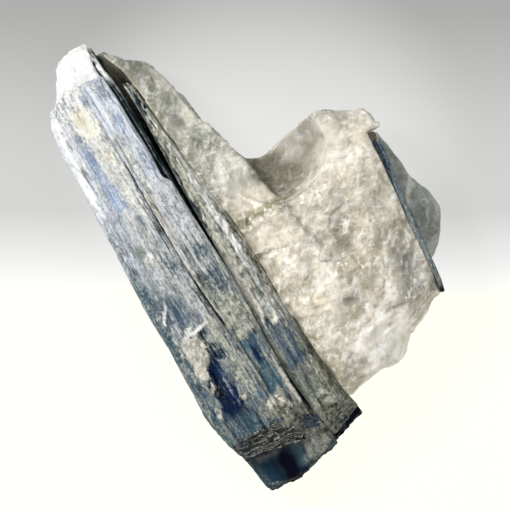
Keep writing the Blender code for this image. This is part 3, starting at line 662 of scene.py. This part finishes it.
def even_place(tree, size, turn=0):
    """The place in an object, turned in degrees, in units of the given size along each axis."""
    place = object_place(tree)
    if turn:
        angle = math.radians(turn)
        place = node(tree, "VectorRotate", {"rotation_type": "Z_AXIS"}, Vector=place, Angle=angle).outputs[0]
    scale = tuple(1 / (side * MM) for side in size)
    return node(tree, "Mapping", Vector=place, Scale=scale).outputs[0]


def bent_place(tree, size, warp, ripple_scale, detail):
    """The place in units of the given size, bent by noise."""
    place = even_place(tree, size)
    ripple = node(tree, "TexNoise", Vector=place, Scale=ripple_scale, Detail=detail).outputs["Color"]
    return vector_maths(tree, "MULTIPLY_ADD", ripple, (warp,) * 3, place)


def noise_field(tree, size, detail=3, roughness=0.55, turn=0):
    """Noise whose features are about the given size, along axes turned in degrees."""
    place = even_place(tree, size, turn)
    return node(tree, "TexNoise", Vector=place, Scale=1, Detail=detail, Roughness=roughness).outputs["Fac"]


def facet_field(tree, size, warp):
    """Flat facets about the given size: (how high a tilted facet stands, a shade of its own from 0 to 1)."""
    place = bent_place(tree, size, warp, 0.8, 3)
    facet = node(tree, "TexVoronoi", {"feature": "F1"}, Vector=place, Scale=1).outputs
    away = vector_maths(tree, "SUBTRACT", place, facet["Position"])
    lean = vector_maths(tree, "SUBTRACT", facet["Color"], (0.5,) * 3)
    shade = node(tree, "SeparateColor", Color=facet["Color"]).outputs[1]
    return dot(tree, away, lean), shade


def crack_field(tree, size, width, warp):
    """From 0 to 1 on a net of thin lines about the given size apart."""
    place = bent_place(tree, size, warp, 1.1, 4)
    net = node(tree, "TexVoronoi", {"feature": "DISTANCE_TO_EDGE"}, Vector=place, Scale=1)
    return remap(tree, net.outputs["Distance"], 0, width, 1, 0)


def sheet_lines(tree):
    """A saw from 0 to 1 up each of the thin sheets that a blade splits into."""
    wander = noise_field(tree, (12, 6, 6), 3, 0.5)
    parts = node(tree, "SeparateXYZ", Vector=object_place(tree)).outputs
    height = maths(tree, "MULTIPLY_ADD", parts["X"], SHEET_SLOPE, parts["Z"])
    count = maths(tree, "MULTIPLY_ADD", height, 1 / (SHEET * MM), maths(tree, "MULTIPLY", wander, 3))
    return maths(tree, "FRACT", count)


def new_material(name):
    material = bpy.data.materials.new(name)
    material.use_nodes = True
    tree = material.node_tree
    return material, tree, tree.nodes["Principled BSDF"]


def with_details(tree, colour, details):
    """A colour under the colours of fine detail, each with its share."""
    for detail, share in details:
        colour = blend(tree, share, colour, detail)
    return colour


# Colours of fine detail, in linear light.
# Near-black specks of painted shade, for tiny pits in the film.
PIT_SHADE = (0.03, 0.04, 0.04, 1)
DUST = (0.82, 0.83, 0.80, 1)
# On the split sheets of the broken ends, a pale band near the top of each sheet is a painted highlight, and a
# near-black line near its foot is painted shade in the gap.
SHEET_EDGE_HIGHLIGHT = (0.62, 0.61, 0.57, 1)
SHEET_GAP_SHADE = (0.012, 0.014, 0.014, 1)
VEIL = (0.92, 0.90, 0.84, 1)
FEATHER = (0.88, 0.86, 0.81, 1)
HOLLOW = (0.30, 0.28, 0.21, 1)


def kyanite_material():
    """Glassy blue laths under a chalky film that has worn through in lengthwise streaks."""
    material, tree, shader = new_material("kyanite")
    streak = noise_field(tree, (0.36, 9, 0.36), 4, 0.65)
    broad_streak = noise_field(tree, (1.2, 22, 1.2), 3, 0.5)
    grain = noise_field(tree, (0.42, 0.7, 0.42), 4, 0.75)
    patchy = noise_field(tree, (2, 4.5, 2), 5, 0.65)
    speck = noise_field(tree, (0.36, 0.8, 0.36), 4, 0.65)
    tilt, lath = facet_field(tree, (0.8, 6, 0.8), 0.5)
    chip, crumb = facet_field(tree, (0.7, 1.1, 0.7), 0.9)

    # The film covers where the sum of these is high.
    film = attribute(tree, "film")
    wear = ((streak, 1.3), (grain, 1.5), (patchy, 1.1), (lath, 0.22), (crumb, 0.24))
    middle = 0.5 * sum(weight for _, weight in wear)
    cover = remap(tree, mixture(tree, *wear, (film, 1)), middle + 0.06, middle + 0.94)

    glassy = remap(tree, film, 0.05, -0.3, 0, 0.65)
    body_shade = product(tree, (broad_streak, 0.3, 0.7, 0.82, 1.16), (streak, 0.3, 0.7, 0.7, 1.3),
                         (lath, 0, 1, 0.82, 1.18), (grain, 0.3, 0.7, 0.72, 1.28))
    body_shade = mixture(tree, (body_shade, rest_of(tree, glassy)), (glassy, 1))
    film_shade = product(tree, (grain, 0.3, 0.55, 0.62, 1.04), (streak, 0.25, 0.6, 0.8, 1),
                         (crumb, 0, 1, 0.86, 1.04))
    evened = product(tree, (film, 0.86, 1, 0, 0.7), rest_of(tree, film_shade))
    film_shade = mixture(tree, (film_shade, 1), (evened, 1))
    body, tint = scaled_colour(tree, "body", body_shade), scaled_colour(tree, "tint", film_shade)
    lines, split = sheet_lines(tree), attribute(tree, "split")
    dust = (speck, 0.56, 0.68), (patchy, 0.35, 0.6, 0.1, 0.8), (film, 0.1, 0.4, 0, 0.85)
    details = (
        (PIT_SHADE, product(tree, (speck, 0.42, 0.32), (film, 0.1, 0.4, 0, 0.5), (film, 1, 0.75))),
        (DUST, product(tree, *dust)),
        (SHEET_EDGE_HIGHLIGHT, product(tree, split, (lines, 0.62, 0.8), (streak, 0.35, 0.6))),
        (SHEET_GAP_SHADE, product(tree, split, (lines, 0.3, 0.1, 0, 0.8))),
    )
    colour = with_details(tree, blend(tree, cover, body, tint), details)

    feed(tree, shader, Base_Color=colour, Roughness=remap(tree, cover, 0, 1, 0.5, 0.8))
    height = mixture(tree, (streak, 0.9), (cover, 0.25), (grain, 1.3), (tilt, 0.8), (chip, 0.6))
    height = maths(tree, "MULTIPLY", height, rest_of(tree, glassy))
    bump = node(tree, "Bump", Height=height, Distance=0.22 * MM, Strength=1)
    feed(tree, shader, Normal=bump.outputs[0], IOR=1.45, Specular_IOR_Level=0.08)
    return material


def quartz_material():
    """Milky quartz: cloudy, slightly see-through, with glassy breaks, white veils and sugary patches."""
    material, tree, shader = new_material("milky_quartz")
    cloud = noise_field(tree, (3.2, 3.2, 3.2), 6, 0.65)
    vein = noise_field(tree, (1.6, 1.6, 1.6), 5, 0.65)
    grain = noise_field(tree, (0.45, 0.45, 0.45), 3, 0.6)
    tilt, block = facet_field(tree, (2.8, 2.8, 2.8), 0.9)
    chip, crumb = facet_field(tree, (1.2, 1.2, 1.2), 0.9)
    veil = crack_field(tree, (1.7, 1.7, 1.7), 0.12, 1.8)
    feather = noise_field(tree, (1.1, 3.4, 1.1), 4, 0.6, 45)
    wisp = noise_field(tree, (2.8, 1, 1.1), 4, 0.6, 15)
    rough = attribute(tree, "rough")
    calm = rest_of(tree, rough)

    rough_shade = product(tree, (cloud, 0.3, 0.7, 0.88, 1.1), (vein, 0.3, 0.7, 0.92, 1.05),
                          (block, 0, 1, 0.82, 1.1), (crumb, 0, 1, 0.95, 1.03), rough)
    calm_shade = product(tree, (cloud, 0.3, 0.7, 0.9, 1.04), calm)
    colour = scaled_colour(tree, "tint", mixture(tree, (rough_shade, 1), (calm_shade, 1)))
    strokes = (feather, 0.52, 0.66, 0, 0.6), (wisp, 0.54, 0.68, 0, 0.5)
    gaps = (feather, 0.46, 0.34, 0, 0.42), (wisp, 0.46, 0.34, 0, 0.42)
    details = [(VEIL, product(tree, veil, (cloud, 0.44, 0.56, 0, 0.4), rough))]
    for detail, (first, second) in ((FEATHER, strokes), (HOLLOW, gaps)):
        both = maths(tree, "ADD", remap(tree, *first), remap(tree, *second))
        details.append((detail, product(tree, both, rough)))

    polish = mixture(tree, (remap(tree, crumb, 0.1, 0.9, 0.22, 0.5), rough), (calm, 0.5))
    feed(tree, shader, Base_Color=with_details(tree, colour, details), Roughness=polish)
    height = mixture(tree, (vein, 0.35), (grain, 0.04), (tilt, 1.8), (chip, 0.45))
    height = maths(tree, "MULTIPLY", height, rough)
    bump = node(tree, "Bump", Height=height, Distance=0.3 * MM, Strength=0.95)
    feed(tree, shader, Normal=bump.outputs[0], IOR=1.54, Subsurface_Weight=0.6,
         Subsurface_Radius=(1, 0.88, 0.7), Subsurface_Scale=2 * MM)
    return material


# ---- Blades ----

# Seams between blades, each as its (y, x) line and the (y, share) that it has grown over along it.
GROOVE_LINE = [(-36, -17), (-14.8, -17.1), (-5.5, -17.6), (9, -17.6), (24.3, -17.1), (40, -16.8)]
GROOVE_CLOSED = [
    (-36, 1), (-18, 1), (-13, 0.85), (6, 0.75), (28, 0.7), (32, 1), (40, 1),
]
TRENCH_LINE = [
    (-43, -10.5), (-40, -11), (-36, -11.3), (-34.5, -11.6), (-28, -11.85), (-20, -11.6), (-12, -11.1),
    (-5.6, -10.85), (7, -10.9), (14, -10.9),
]
TRENCH_CLOSED = [(-43, 1), (-14, 1), (-8, 0.7), (2, 0.2), (9, 0), (40, 0)]
# How far a closed seam's walls move towards it and its brows rise, and how far that reaches.
CLOSING, HEALED, SEAM_REACH = 0.23, 0.6, 1
# The level that the front blades' tops lie above, the x that the bundle's open wall lies left of, the
# distance from the middle that its ends lie beyond, and the deepest that it is carved.
FRONT_TOP, OUTER_WALL, ENDS, DEEPEST = 14.1, -17, 33, 1.6


def open_faces(points, normals):
    """From 0 on a blade's hidden walls and underside to 1 on what can be seen of the bundle."""
    x, y, z = points.T
    nx, ny, nz = normals.T
    top = ease(0.15, 0.45, nz)
    outer_left = ease(0.2, 0.5, -nx) * (x < OUTER_WALL)
    ends = ease(0.3, 0.6, np.abs(ny)) * (np.abs(y) > ENDS)
    shown = np.maximum(top, np.maximum(outer_left, ends))
    return shown * ease(-0.6, -0.2, nz) * ease(0, 0.6, z)


def grow_together(points, normals):
    """Closes the seams between neighbouring blades where they have grown together."""
    moved = points.copy()
    for line, closed in ((GROOVE_LINE, GROOVE_CLOSED), (TRENCH_LINE, TRENCH_CLOSED)):
        offset = along(points, line) - points[:, 0]
        near = along(points, closed) * ease(SEAM_REACH, 0.1, np.abs(offset))
        wall = ease(0.3, 0.7, np.sign(offset) * normals[:, 0])
        brow = ease(-0.2, 0.5, normals[:, 2]) * (points[:, 2] > FRONT_TOP)
        moved[:, 0] += CLOSING * near * wall * np.sign(offset)
        moved[:, 2] += HEALED * near * brow
    return moved


def widened(points, style):
    """Moves a blade's right edge outwards where its style says so."""
    moved = points.copy()
    if "right_edge" in style:
        start, full, moves = style["right_edge"]
        moved[:, 0] += along(points, moves) * ease(start, full, points[:, 0])
    return moved


def carve_kyanite(points, normals, fields, relief, seed):
    """Laths, lengthwise ridges, small ledges and crumbly crust, all cut inwards."""
    bowl, _ = cells(points / (2.6, 13, 2.6), seed, 1.4)
    _, lath = cells(points / (0.9, 11, 1.3), seed + 11)
    coarse = ridges(points / (1.3, 26, 1.3), seed + 20)
    fine = ridges(points / (0.55, 12, 0.55), seed + 21)
    grain = fractal(points / (0.8, 1.1, 0.8), seed + 22)
    crumbs, _ = cells(points / 1.5, seed + 30)
    nibbled = ease(0, 0.7, fractal(points / (1, 2.4, 1), seed + 40))
    up = normals[:, 2]
    brow = ease(0.2, 0.45, up) * ease(0.2, 0.45, np.abs(normals[:, 0]))
    depth = 0.24 * lath + 0.16 * (1 - coarse) + 0.14 * (1 - fine) + 0.2 * (0.6 - bowl)
    depth = relief * depth * (1 - 0.6 * fields["crust"]) + 0.10 * (grain + 0.5) * fields["film"]
    depth += fields["crust"] * (0.35 * (grain + 0.6) + 0.3 * (0.7 - crumbs))
    depth += fields["depth"] * ease(0.3, 0.8, up)
    depth += 0.6 * fields["sheet"] + fields["chips"]
    depth += 0.5 * relief * brow * nibbled
    return points - normals * (np.clip(depth, 0, DEEPEST) * open_faces(points, normals))[:, None]


def finish_piece(obj, node_name, material):
    obj.data.materials.append(material)
    obj.data.polygons.foreach_set("use_smooth", [True] * len(obj.data.polygons))
    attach(obj, "root")
    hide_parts(node_name)


def build_kyanite(node_name, slot, style, spacing, relief, seed, material):
    obj, points, normals = fine_copy(node_name, spacing)
    fields = marked(points, normals, style, seed)
    carved = carve_kyanite(points, normals, fields, relief, seed)
    move_points(obj.data, widened(grow_together(carved, normals), style))
    for name in ("body", "tint", "film", "split"):
        keep(obj.data, name, fields[name])
    finish_piece(obj, node_name, material)


# ---- Quartz ----

# Colour marks on the quartz and the lobe, with a colour and a strength in place of a look: mostly stains and
# tones, and one pale patch of painted light.
QUARTZ_MARKS = [
    (6.5, 6.5, 4.4, 5.8, SMOKY, 1), (11, 6.5, 5.4, 4.2, SMOKY, 0.7), (3.4, 10, 1.2, 3.5, -8, SMOKY, 0.9),
    (18, 5, 4, 2, QUARTZ_WHITE, 0.3), (15, 10.4, 7, 2, LILAC_GREY, 0.8), (-5.5, 32, 1.6, 4.5, 12, TAUPE, 0.4),
    (-2.5, 26, 1.8, 8.5, 8, QUARTZ_WHITE, 0.5), (-0.5, 11, 3, 4.6, QUARTZ_WHITE, 0.6),
    (-7.8, 40, 2.2, 5, 20, FIN_SMOKY, 0.9), (-5, 30, 2, 8, 6, FIN_SMOKY, 0.95),
    (-2, 18, 2, 3, FIN_SMOKY, 0.9), (0.5, -9, 4.6, 9, WARM_QUARTZ, 0.7),
    (4.6, -13, 1.3, 9, -4, QUARTZ_WHITE, 0.7), (0, -20, 4, 5, WARM_QUARTZ, 0.6), (4.5, -25, 3, 3, TAUPE, 0.5),
    (12.5, -10, 4.2, 2.6, -8, TAUPE, 1), (10.5, -16.5, 4, 4.4, TAUPE, 0.8),
    (17.5, -15.5, 3, 3, -35, TAUPE, 0.8), (5.5, -21.6, 1.3, 1, SMOKY, 0.8),
    (18, -24.5, 4.4, 6, -20, LILAC_GREY, 1), (16.5, -28.5, 4, 2.6, 15, TAUPE, 0.6),
    # The near-white patch at (7.6, -33) is painted light where the lower edge turns away from the lamp.
    (-1.2, -33, 3.6, 4.2, TAUPE, 0.8), (7.6, -33, 6, 5.6, PALE_QUARTZ_PAINTED_LIGHT, 1),
    (13.5, -22.5, 0.9, 7.5, -28, QUARTZ_WHITE, 0.5), (17, -3.5, 3, 2.4, TAUPE, 0.3),
    (18, 1.6, 6, 0.9, -3, QUARTZ_WHITE, 0.7), (0.6, -2, 4.2, 1.8, TAUPE, 0.3),
    (26, 6.5, 2, 2.4, QUARTZ_WHITE, 0.6), (-0.4, 1, 5.6, 1.3, 2, OLIVE_STAIN, 0.9),
    (-3.6, 0.9, 1.6, 0.9, BROWN, 0.9), (4.9, 0, 0.7, 2.2, SMOKY, 0.7), (5.4, -5, 0.5, 4, TAUPE, 0.6),
    (-3.4, 2.6, 1, 0.6, BROWN, 0.6), (-4.8, 0.4, 1.4, 1.4, BROWN, 1), (-3.7, -10, 0.7, 0.7, AMBER, 0.6),
    (-3.5, -25, 0.7, 0.8, AMBER, 0.6), (22, -14.5, 0.4, 0.4, RUST, 0.8), (21, -23, 0.4, 0.4, RUST, 0.8),
]
LOBE_MARKS = [
    (26, -10.4, 0.5, 2.8, -35, QUARTZ_WHITE, 0.8), (26.2, -18, 3.4, 4, END_GREY, 0.35),
    (27.2, -3, 0.6, 1.6, END_GREY, 0.3), (26.4, 2.6, 1.4, 0.9, QUARTZ, 0.9),
]

# The wall where the quartz meets the bundle, as (y, x), and how strongly the quartz is darkened beside it:
# partly amber staining, partly painted shade from the crevice.
CONTACT = [
    (-46.5, -2.4), (-41, -2.9), (-37.5, -3.6), (-34.8, -4), (-28, -4.5), (-21.1, -4.8), (-16.4, -5.2),
    (-3.2, -4.9), (3.7, -5.2), (11, -6.2), (22.6, -7), (34.7, -7.8), (38, -8.4), (42.7, -9.9), (47, -10.6),
]
CONTACT_STAIN_AND_SHADE = [(-38, 0.3), (-28, 0.5), (-8, 0.45), (3, 0.8), (8, 0.3), (45, 0.4)]
# A crease down the quartz, as (y, x).
CREASE = [(-24, 7.4), (-16, 7.8), (-10, 6.6), (-4, 5.5), (2, 5)]
# The bundle's walls lie left of the first x, and those of the plate's slot right of the second.
BUNDLE_WALLS, SLOT_WALLS = -2, 19
# The slot's end: its y, the y that its sides stop at, the x that it lies right of, and how far it moves.
SLOT_END, SLOT_STOP, SLOT_RIGHT, SLOT_CLOSING = 3.7, 4.2, 23.6, 0.2
# Smoother parts, as (x, y, half width, half length).
SADDLE, SMOOTH_PATCH = (11, 6.5, 12.5, 6), (7.6, -33, 6, 5)
# How far the lobe's left wall moves to the plate, and where the lobe turns blue beside it, as (y, x).
LOBE_CLOSING = 0.32
BLUE_EDGE = [(-30, 21), (-12, 24), (-7, 25.2), (-2, 26), (3, 26.6)]


def quartz_walls(points, normals, bundle_step, slot_step):
    """From 0 to 1 on the quartz's walls towards the bundle, and on those towards the plate."""
    x, y, _ = points.T
    contact = ease(*bundle_step, -normals[:, 0]) * (x < BUNDLE_WALLS)
    slot = ease(*slot_step, normals[:, 0]) * (x > SLOT_WALLS) * (y < SLOT_STOP)
    return contact, slot


def open_quartz(points, normals):
    """From 0 where the quartz meets the blades, the plate or the floor to 1 on its open faces."""
    contact, slot = quartz_walls(points, normals, (0.4, 0.8), (0.6, 0.9))
    return (1 - contact) * (1 - slot) * (1 - ease(0.8, 0.2, points[:, 2]))


def close_slot(points, normals):
    """Brings the end of the plate's slot up to the plate, as a move along Y."""
    x, y, _ = points.T
    end = ease(0.5, 0.8, -normals[:, 1]) * (x > SLOT_RIGHT) * ease(1.5, 0.5, np.abs(y - SLOT_END))
    return -SLOT_CLOSING * end


def close_walls(points, normals):
    """Brings the walls up to the blades in patches, and to the plate, as a move along X."""
    contact, slot = quartz_walls(points, normals, (0.3, 0.7), (0.3, 0.7))
    patches = ease(-0.4, 0.3, fractal(points / (2, 4, 2), 245))
    slot_move = 0.3 + 0.2 * ease(-14, -8, points[:, 1])
    return (slot_move * slot - (0.08 + 0.24 * patches) * contact) * (points[:, 2] > 0.6)


def add_colour_marks(tint, points, seen, marks, seed):
    for number, (*place, colour, strength) in enumerate(marks):
        shift_colours(tint, seen * strength * oval(points, place, seed + number), colour)


def build_quartz(material):
    obj, points, normals = fine_copy("quartz_matrix", 0.28)
    x, y, _ = points.T
    warp = 0.8 * np.stack([fractal(points / 4, 191 + axis) for axis in range(3)], axis=1)
    wide, block = cells(points / 6, 201, 2.2)
    flat, facet = facets((points + warp) / 3.4, 211)
    small, chip = facets((points + 0.5 * warp) / 1.5, 221)
    rough = fractal(points / 0.9, 231)
    saddle = oval(points, SADDLE, 240)
    fin = ease(5, 9, y) * ease(6, 3, x)

    depth = 0.3 * (0.35 - wide) + 0.55 * flat + 0.2 * small + 0.03 * rough
    crease = x - along(points, CREASE) + 0.3 * fractal(points / 1.6, 235)
    creased = ease(-26, -18, y) * ease(3, 0, y)
    groove = np.exp(-((crease / 0.5) ** 2))
    bank = ease(-0.5, 1, crease) * ease(9, 3, crease)
    depth += creased * (0.35 * groove + 0.25 * bank)
    depth *= (1 - 0.75 * saddle) * (1 - 0.1 * fin) * open_quartz(points, normals)
    carved = points - normals * np.clip(depth, -0.4, 1)[:, None]
    carved[:, 0] += close_walls(points, normals)
    carved[:, 1] += close_slot(points, normals)
    carved[:, 2] = np.minimum(carved[:, 2], points[:, 2].max())
    move_points(obj.data, carved)

    tint = np.tile(linear(QUARTZ), (len(points), 1))
    # Painted shade: a smoky darkening along the carved crease.
    shift_colours(tint, 0.3 * creased * ease(0.8, 0, np.abs(crease)), SMOKY)
    shift_colours(tint, 0.35 * ease(-0.15, 0.75, fractal(points / 5, 251, 4)), TAUPE)
    shift_colours(tint, 0.8 * fin, FIN_GREY)
    add_colour_marks(tint, points, ease(-0.1, 0.3, normals[:, 2]), QUARTZ_MARKS, 260)
    # Beside the contact: a band of amber staining that is partly painted shade, the fin turning khaki grey
    # towards the blades, and a narrow brown line that is painted shade in the crevice.
    beside = x - along(points, CONTACT) + 0.6 * fractal(points / 1.5, 295)
    share = along(points, CONTACT_STAIN_AND_SHADE)
    near = ease(1.5, 0.2, beside)
    shift_colours(tint, share * near * (1 - fin), AMBER)
    shift_colours(tint, 0.7 * near * fin, KHAKI_GREY)
    shift_colours(tint, 0.8 * share * ease(0.7, 0.1, beside), BROWN)
    tint *= (0.86 + (1 - 0.7 * saddle) * (0.06 * block + 0.12 * facet + 0.08 * chip))[:, None]
    keep(obj.data, "tint", tint)
    calm = np.maximum(0.85 * saddle, 0.5 * oval(points, SMOOTH_PATCH, 298))
    calm = np.maximum(calm, 0.45 * fin * ease(14, 24, y))
    keep(obj.data, "rough", 1 - calm)
    finish_piece(obj, "quartz_matrix", material)


def build_lobe(material):
    obj, points, normals = fine_copy("quartz_lobe", 0.26)
    middle, facet = cells(points / 3, 311, 1.4)
    small, _ = cells(points / 1.2, 321, 1.4)
    depth = np.clip(0.4 * (0.8 - middle) + 0.12 * (0.8 - small), 0, 1)
    carved = points - normals * depth[:, None]
    carved[:, 0] -= LOBE_CLOSING * ease(0.3, 0.7, -normals[:, 0])
    move_points(obj.data, carved)

    tint = 0.92 * np.tile(linear(GREEN_GREY), (len(points), 1))
    shift_colours(tint, 0.6 * ease(-0.3, 0.6, fractal(points / 3.5, 331, 4)), GREY_QUARTZ)
    beside = along(points, BLUE_EDGE) - points[:, 0] + 0.4 * fractal(points / 1.2, 341)
    shift_colours(tint, 0.7 * ease(-0.5, 0.5, beside), PLATE_BLUE)
    add_colour_marks(tint, points, 1, LOBE_MARKS, 350)
    tint *= (0.78 + 0.34 * facet)[:, None]
    keep(obj.data, "tint", tint)
    keep(obj.data, "rough", np.full(len(points), 0.4))
    finish_piece(obj, "quartz_lobe", material)


# ---- Camera, light and floor ----

# The photo's right and up in the row frame, and the way from the specimen to the camera.
RIGHT = Vector((0.8526, -0.5225, 0))
UP = Vector((0.5225, 0.8526, 0))
BACK = Vector((0, 0, 1))
CAMERA_PLACE = (-0.0052, -0.0053, 0.600)
CAMERA_LENS = 218.5

# Lights, as (name, direction, distance, size, power), with the two lengths in metres.
LIGHTS = [
    ("key", -RIGHT * 1 + UP * 0.6 + BACK * 1.1, 0.6, 0.16, 3.6),
    ("fill", RIGHT * 0.7 - UP * 0.5 + BACK * 1.6, 0.8, 0.6, 1.9),
]
SKY_STRENGTH = 0.32

FLOOR_HALF_SIDE = 3
# The floor's tone, from white near the specimen's foot to grey beyond its head, as (share of the way, tone).
FLOOR_NEAR, FLOOR_FAR = -17.7, 60
FLOOR_STOPS = [
    (0, 1.08), (0.06, 0.96), (0.122, 0.83), (0.245, 0.61), (0.367, 0.59), (0.489, 0.54), (0.611, 0.45),
    (0.734, 0.355), (1, 0.28),
]
# Its blue for its tone, and the most blue, so that its white is warm; how strongly it shines; its own colour.
FLOOR_WARMTH, FLOOR_BLUE, FLOOR_SHINE, FLOOR_BASE = 0.985, 0.926, 0.95, (0.06, 0.06, 0.059, 1)
# A glow on the floor behind the head: how much brighter, its half widths across and up, how far up its middle
# lies, and where it ends, in squares of those half widths.
GLOW, GLOW_WIDE, GLOW_TALL, GLOW_UP, GLOW_END = 0.2, 34, 30, 16, 1.6


def build_camera():
    data = bpy.data.cameras.new("camera")
    data.lens = CAMERA_LENS
    data.sensor_width = 36
    data.clip_start = 0.01
    obj = add_object("camera", data)
    turned = Matrix((RIGHT, UP, BACK)).transposed().to_4x4()
    obj.matrix_world = Matrix.Translation(CAMERA_PLACE) @ turned
    bpy.context.scene.camera = obj


def build_light():
    for name, direction, distance, size, power in LIGHTS:
        data = bpy.data.lights.new(name, "AREA")
        data.size = size
        data.energy = power
        obj = add_object(name, data)
        obj.location = direction.normalized() * distance
        obj.rotation_euler = direction.to_track_quat("Z", "Y").to_euler()
    world = bpy.data.worlds.new("studio")
    world.use_nodes = True
    sky = world.node_tree.nodes["Background"].inputs
    sky["Color"].default_value = (1, 1, 1, 1)
    sky["Strength"].default_value = SKY_STRENGTH
    bpy.context.scene.world = world
    bpy.context.scene.view_settings.view_transform = "Standard"


def floor_material():
    """A pale floor that shines by itself, with a dark base colour that takes the shadows."""
    material, tree, shader = new_material("floor")
    place = object_place(tree)
    height = dot(tree, place, tuple(UP))
    share = node(tree, "MapRange", in_0=height, in_1=FLOOR_NEAR * MM, in_2=FLOOR_FAR * MM).outputs[0]
    ramp = node(tree, "ValToRGB", Fac=share)
    stops = ramp.color_ramp.elements
    stops[0].position, stops[1].position = FLOOR_STOPS[0][0], FLOOR_STOPS[-1][0]
    for position, _ in FLOOR_STOPS[1:-1]:
        stops.new(position)
    for stop, (_, tone) in zip(stops, FLOOR_STOPS):
        stop.color = (tone, tone, min(FLOOR_WARMTH * tone, FLOOR_BLUE), 1)
    across = maths(tree, "MULTIPLY", dot(tree, place, tuple(RIGHT)), 1 / (GLOW_WIDE * MM))
    upward = maths(tree, "MULTIPLY_ADD", height, 1 / (GLOW_TALL * MM), -GLOW_UP / GLOW_TALL)
    away = maths(tree, "MULTIPLY_ADD", across, across, maths(tree, "MULTIPLY", upward, upward))
    glow = remap(tree, away, 0, GLOW_END, GLOW, 0)
    shine = vector_maths(tree, "ADD", ramp.outputs["Color"], glow)
    feed(tree, shader, Emission_Color=shine, Emission_Strength=FLOOR_SHINE)
    feed(tree, shader, Base_Color=FLOOR_BASE, Roughness=0.9)
    return material


def build_floor():
    mesh = bpy.data.meshes.new("floor")
    side = FLOOR_HALF_SIDE
    corners = [(-side, -side, 0), (side, -side, 0), (side, side, 0), (-side, side, 0)]
    mesh.from_pydata(corners, [], [(0, 1, 2, 3)])
    mesh.materials.append(floor_material())
    floor = add_object("floor", mesh)


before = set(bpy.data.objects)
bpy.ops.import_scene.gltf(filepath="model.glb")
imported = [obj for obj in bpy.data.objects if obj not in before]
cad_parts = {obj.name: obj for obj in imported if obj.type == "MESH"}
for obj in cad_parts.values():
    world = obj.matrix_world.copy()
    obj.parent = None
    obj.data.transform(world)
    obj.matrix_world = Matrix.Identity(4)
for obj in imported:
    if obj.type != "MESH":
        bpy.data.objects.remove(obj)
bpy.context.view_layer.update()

# The blades, as (node, slot, style, spacing of the fine mesh, strength of relief, seed).
BLADES = [
    ("broad_front_blade", "streaked_kyanite", BROAD, 0.25, 1, 1),
    ("narrow_front_blade", "pale_streaked_kyanite", NARROW, 0.25, 0.9, 101),
    ("white_tipped_blade", "chalky_kyanite", TIPPED, 0.36, 0.9, 401),
    ("lower_blade", "deep_blue_kyanite", LOWER, 0.36, 0.9, 501),
    ("rear_blade", "navy_kyanite", REAR, 0.40, 0.8, 601),
    ("side_blade", "grey_green_kyanite", SIDE, 0.27, 1, 701),
    ("edge_blade", "edge_kyanite", EDGE, 0.20, 0.5, 801),
]
kyanite = kyanite_material()
quartz = quartz_material()
for blade in BLADES:
    build_kyanite(*blade, kyanite)
build_quartz(quartz)
build_lobe(quartz)
build_camera()
build_light()
build_floor()
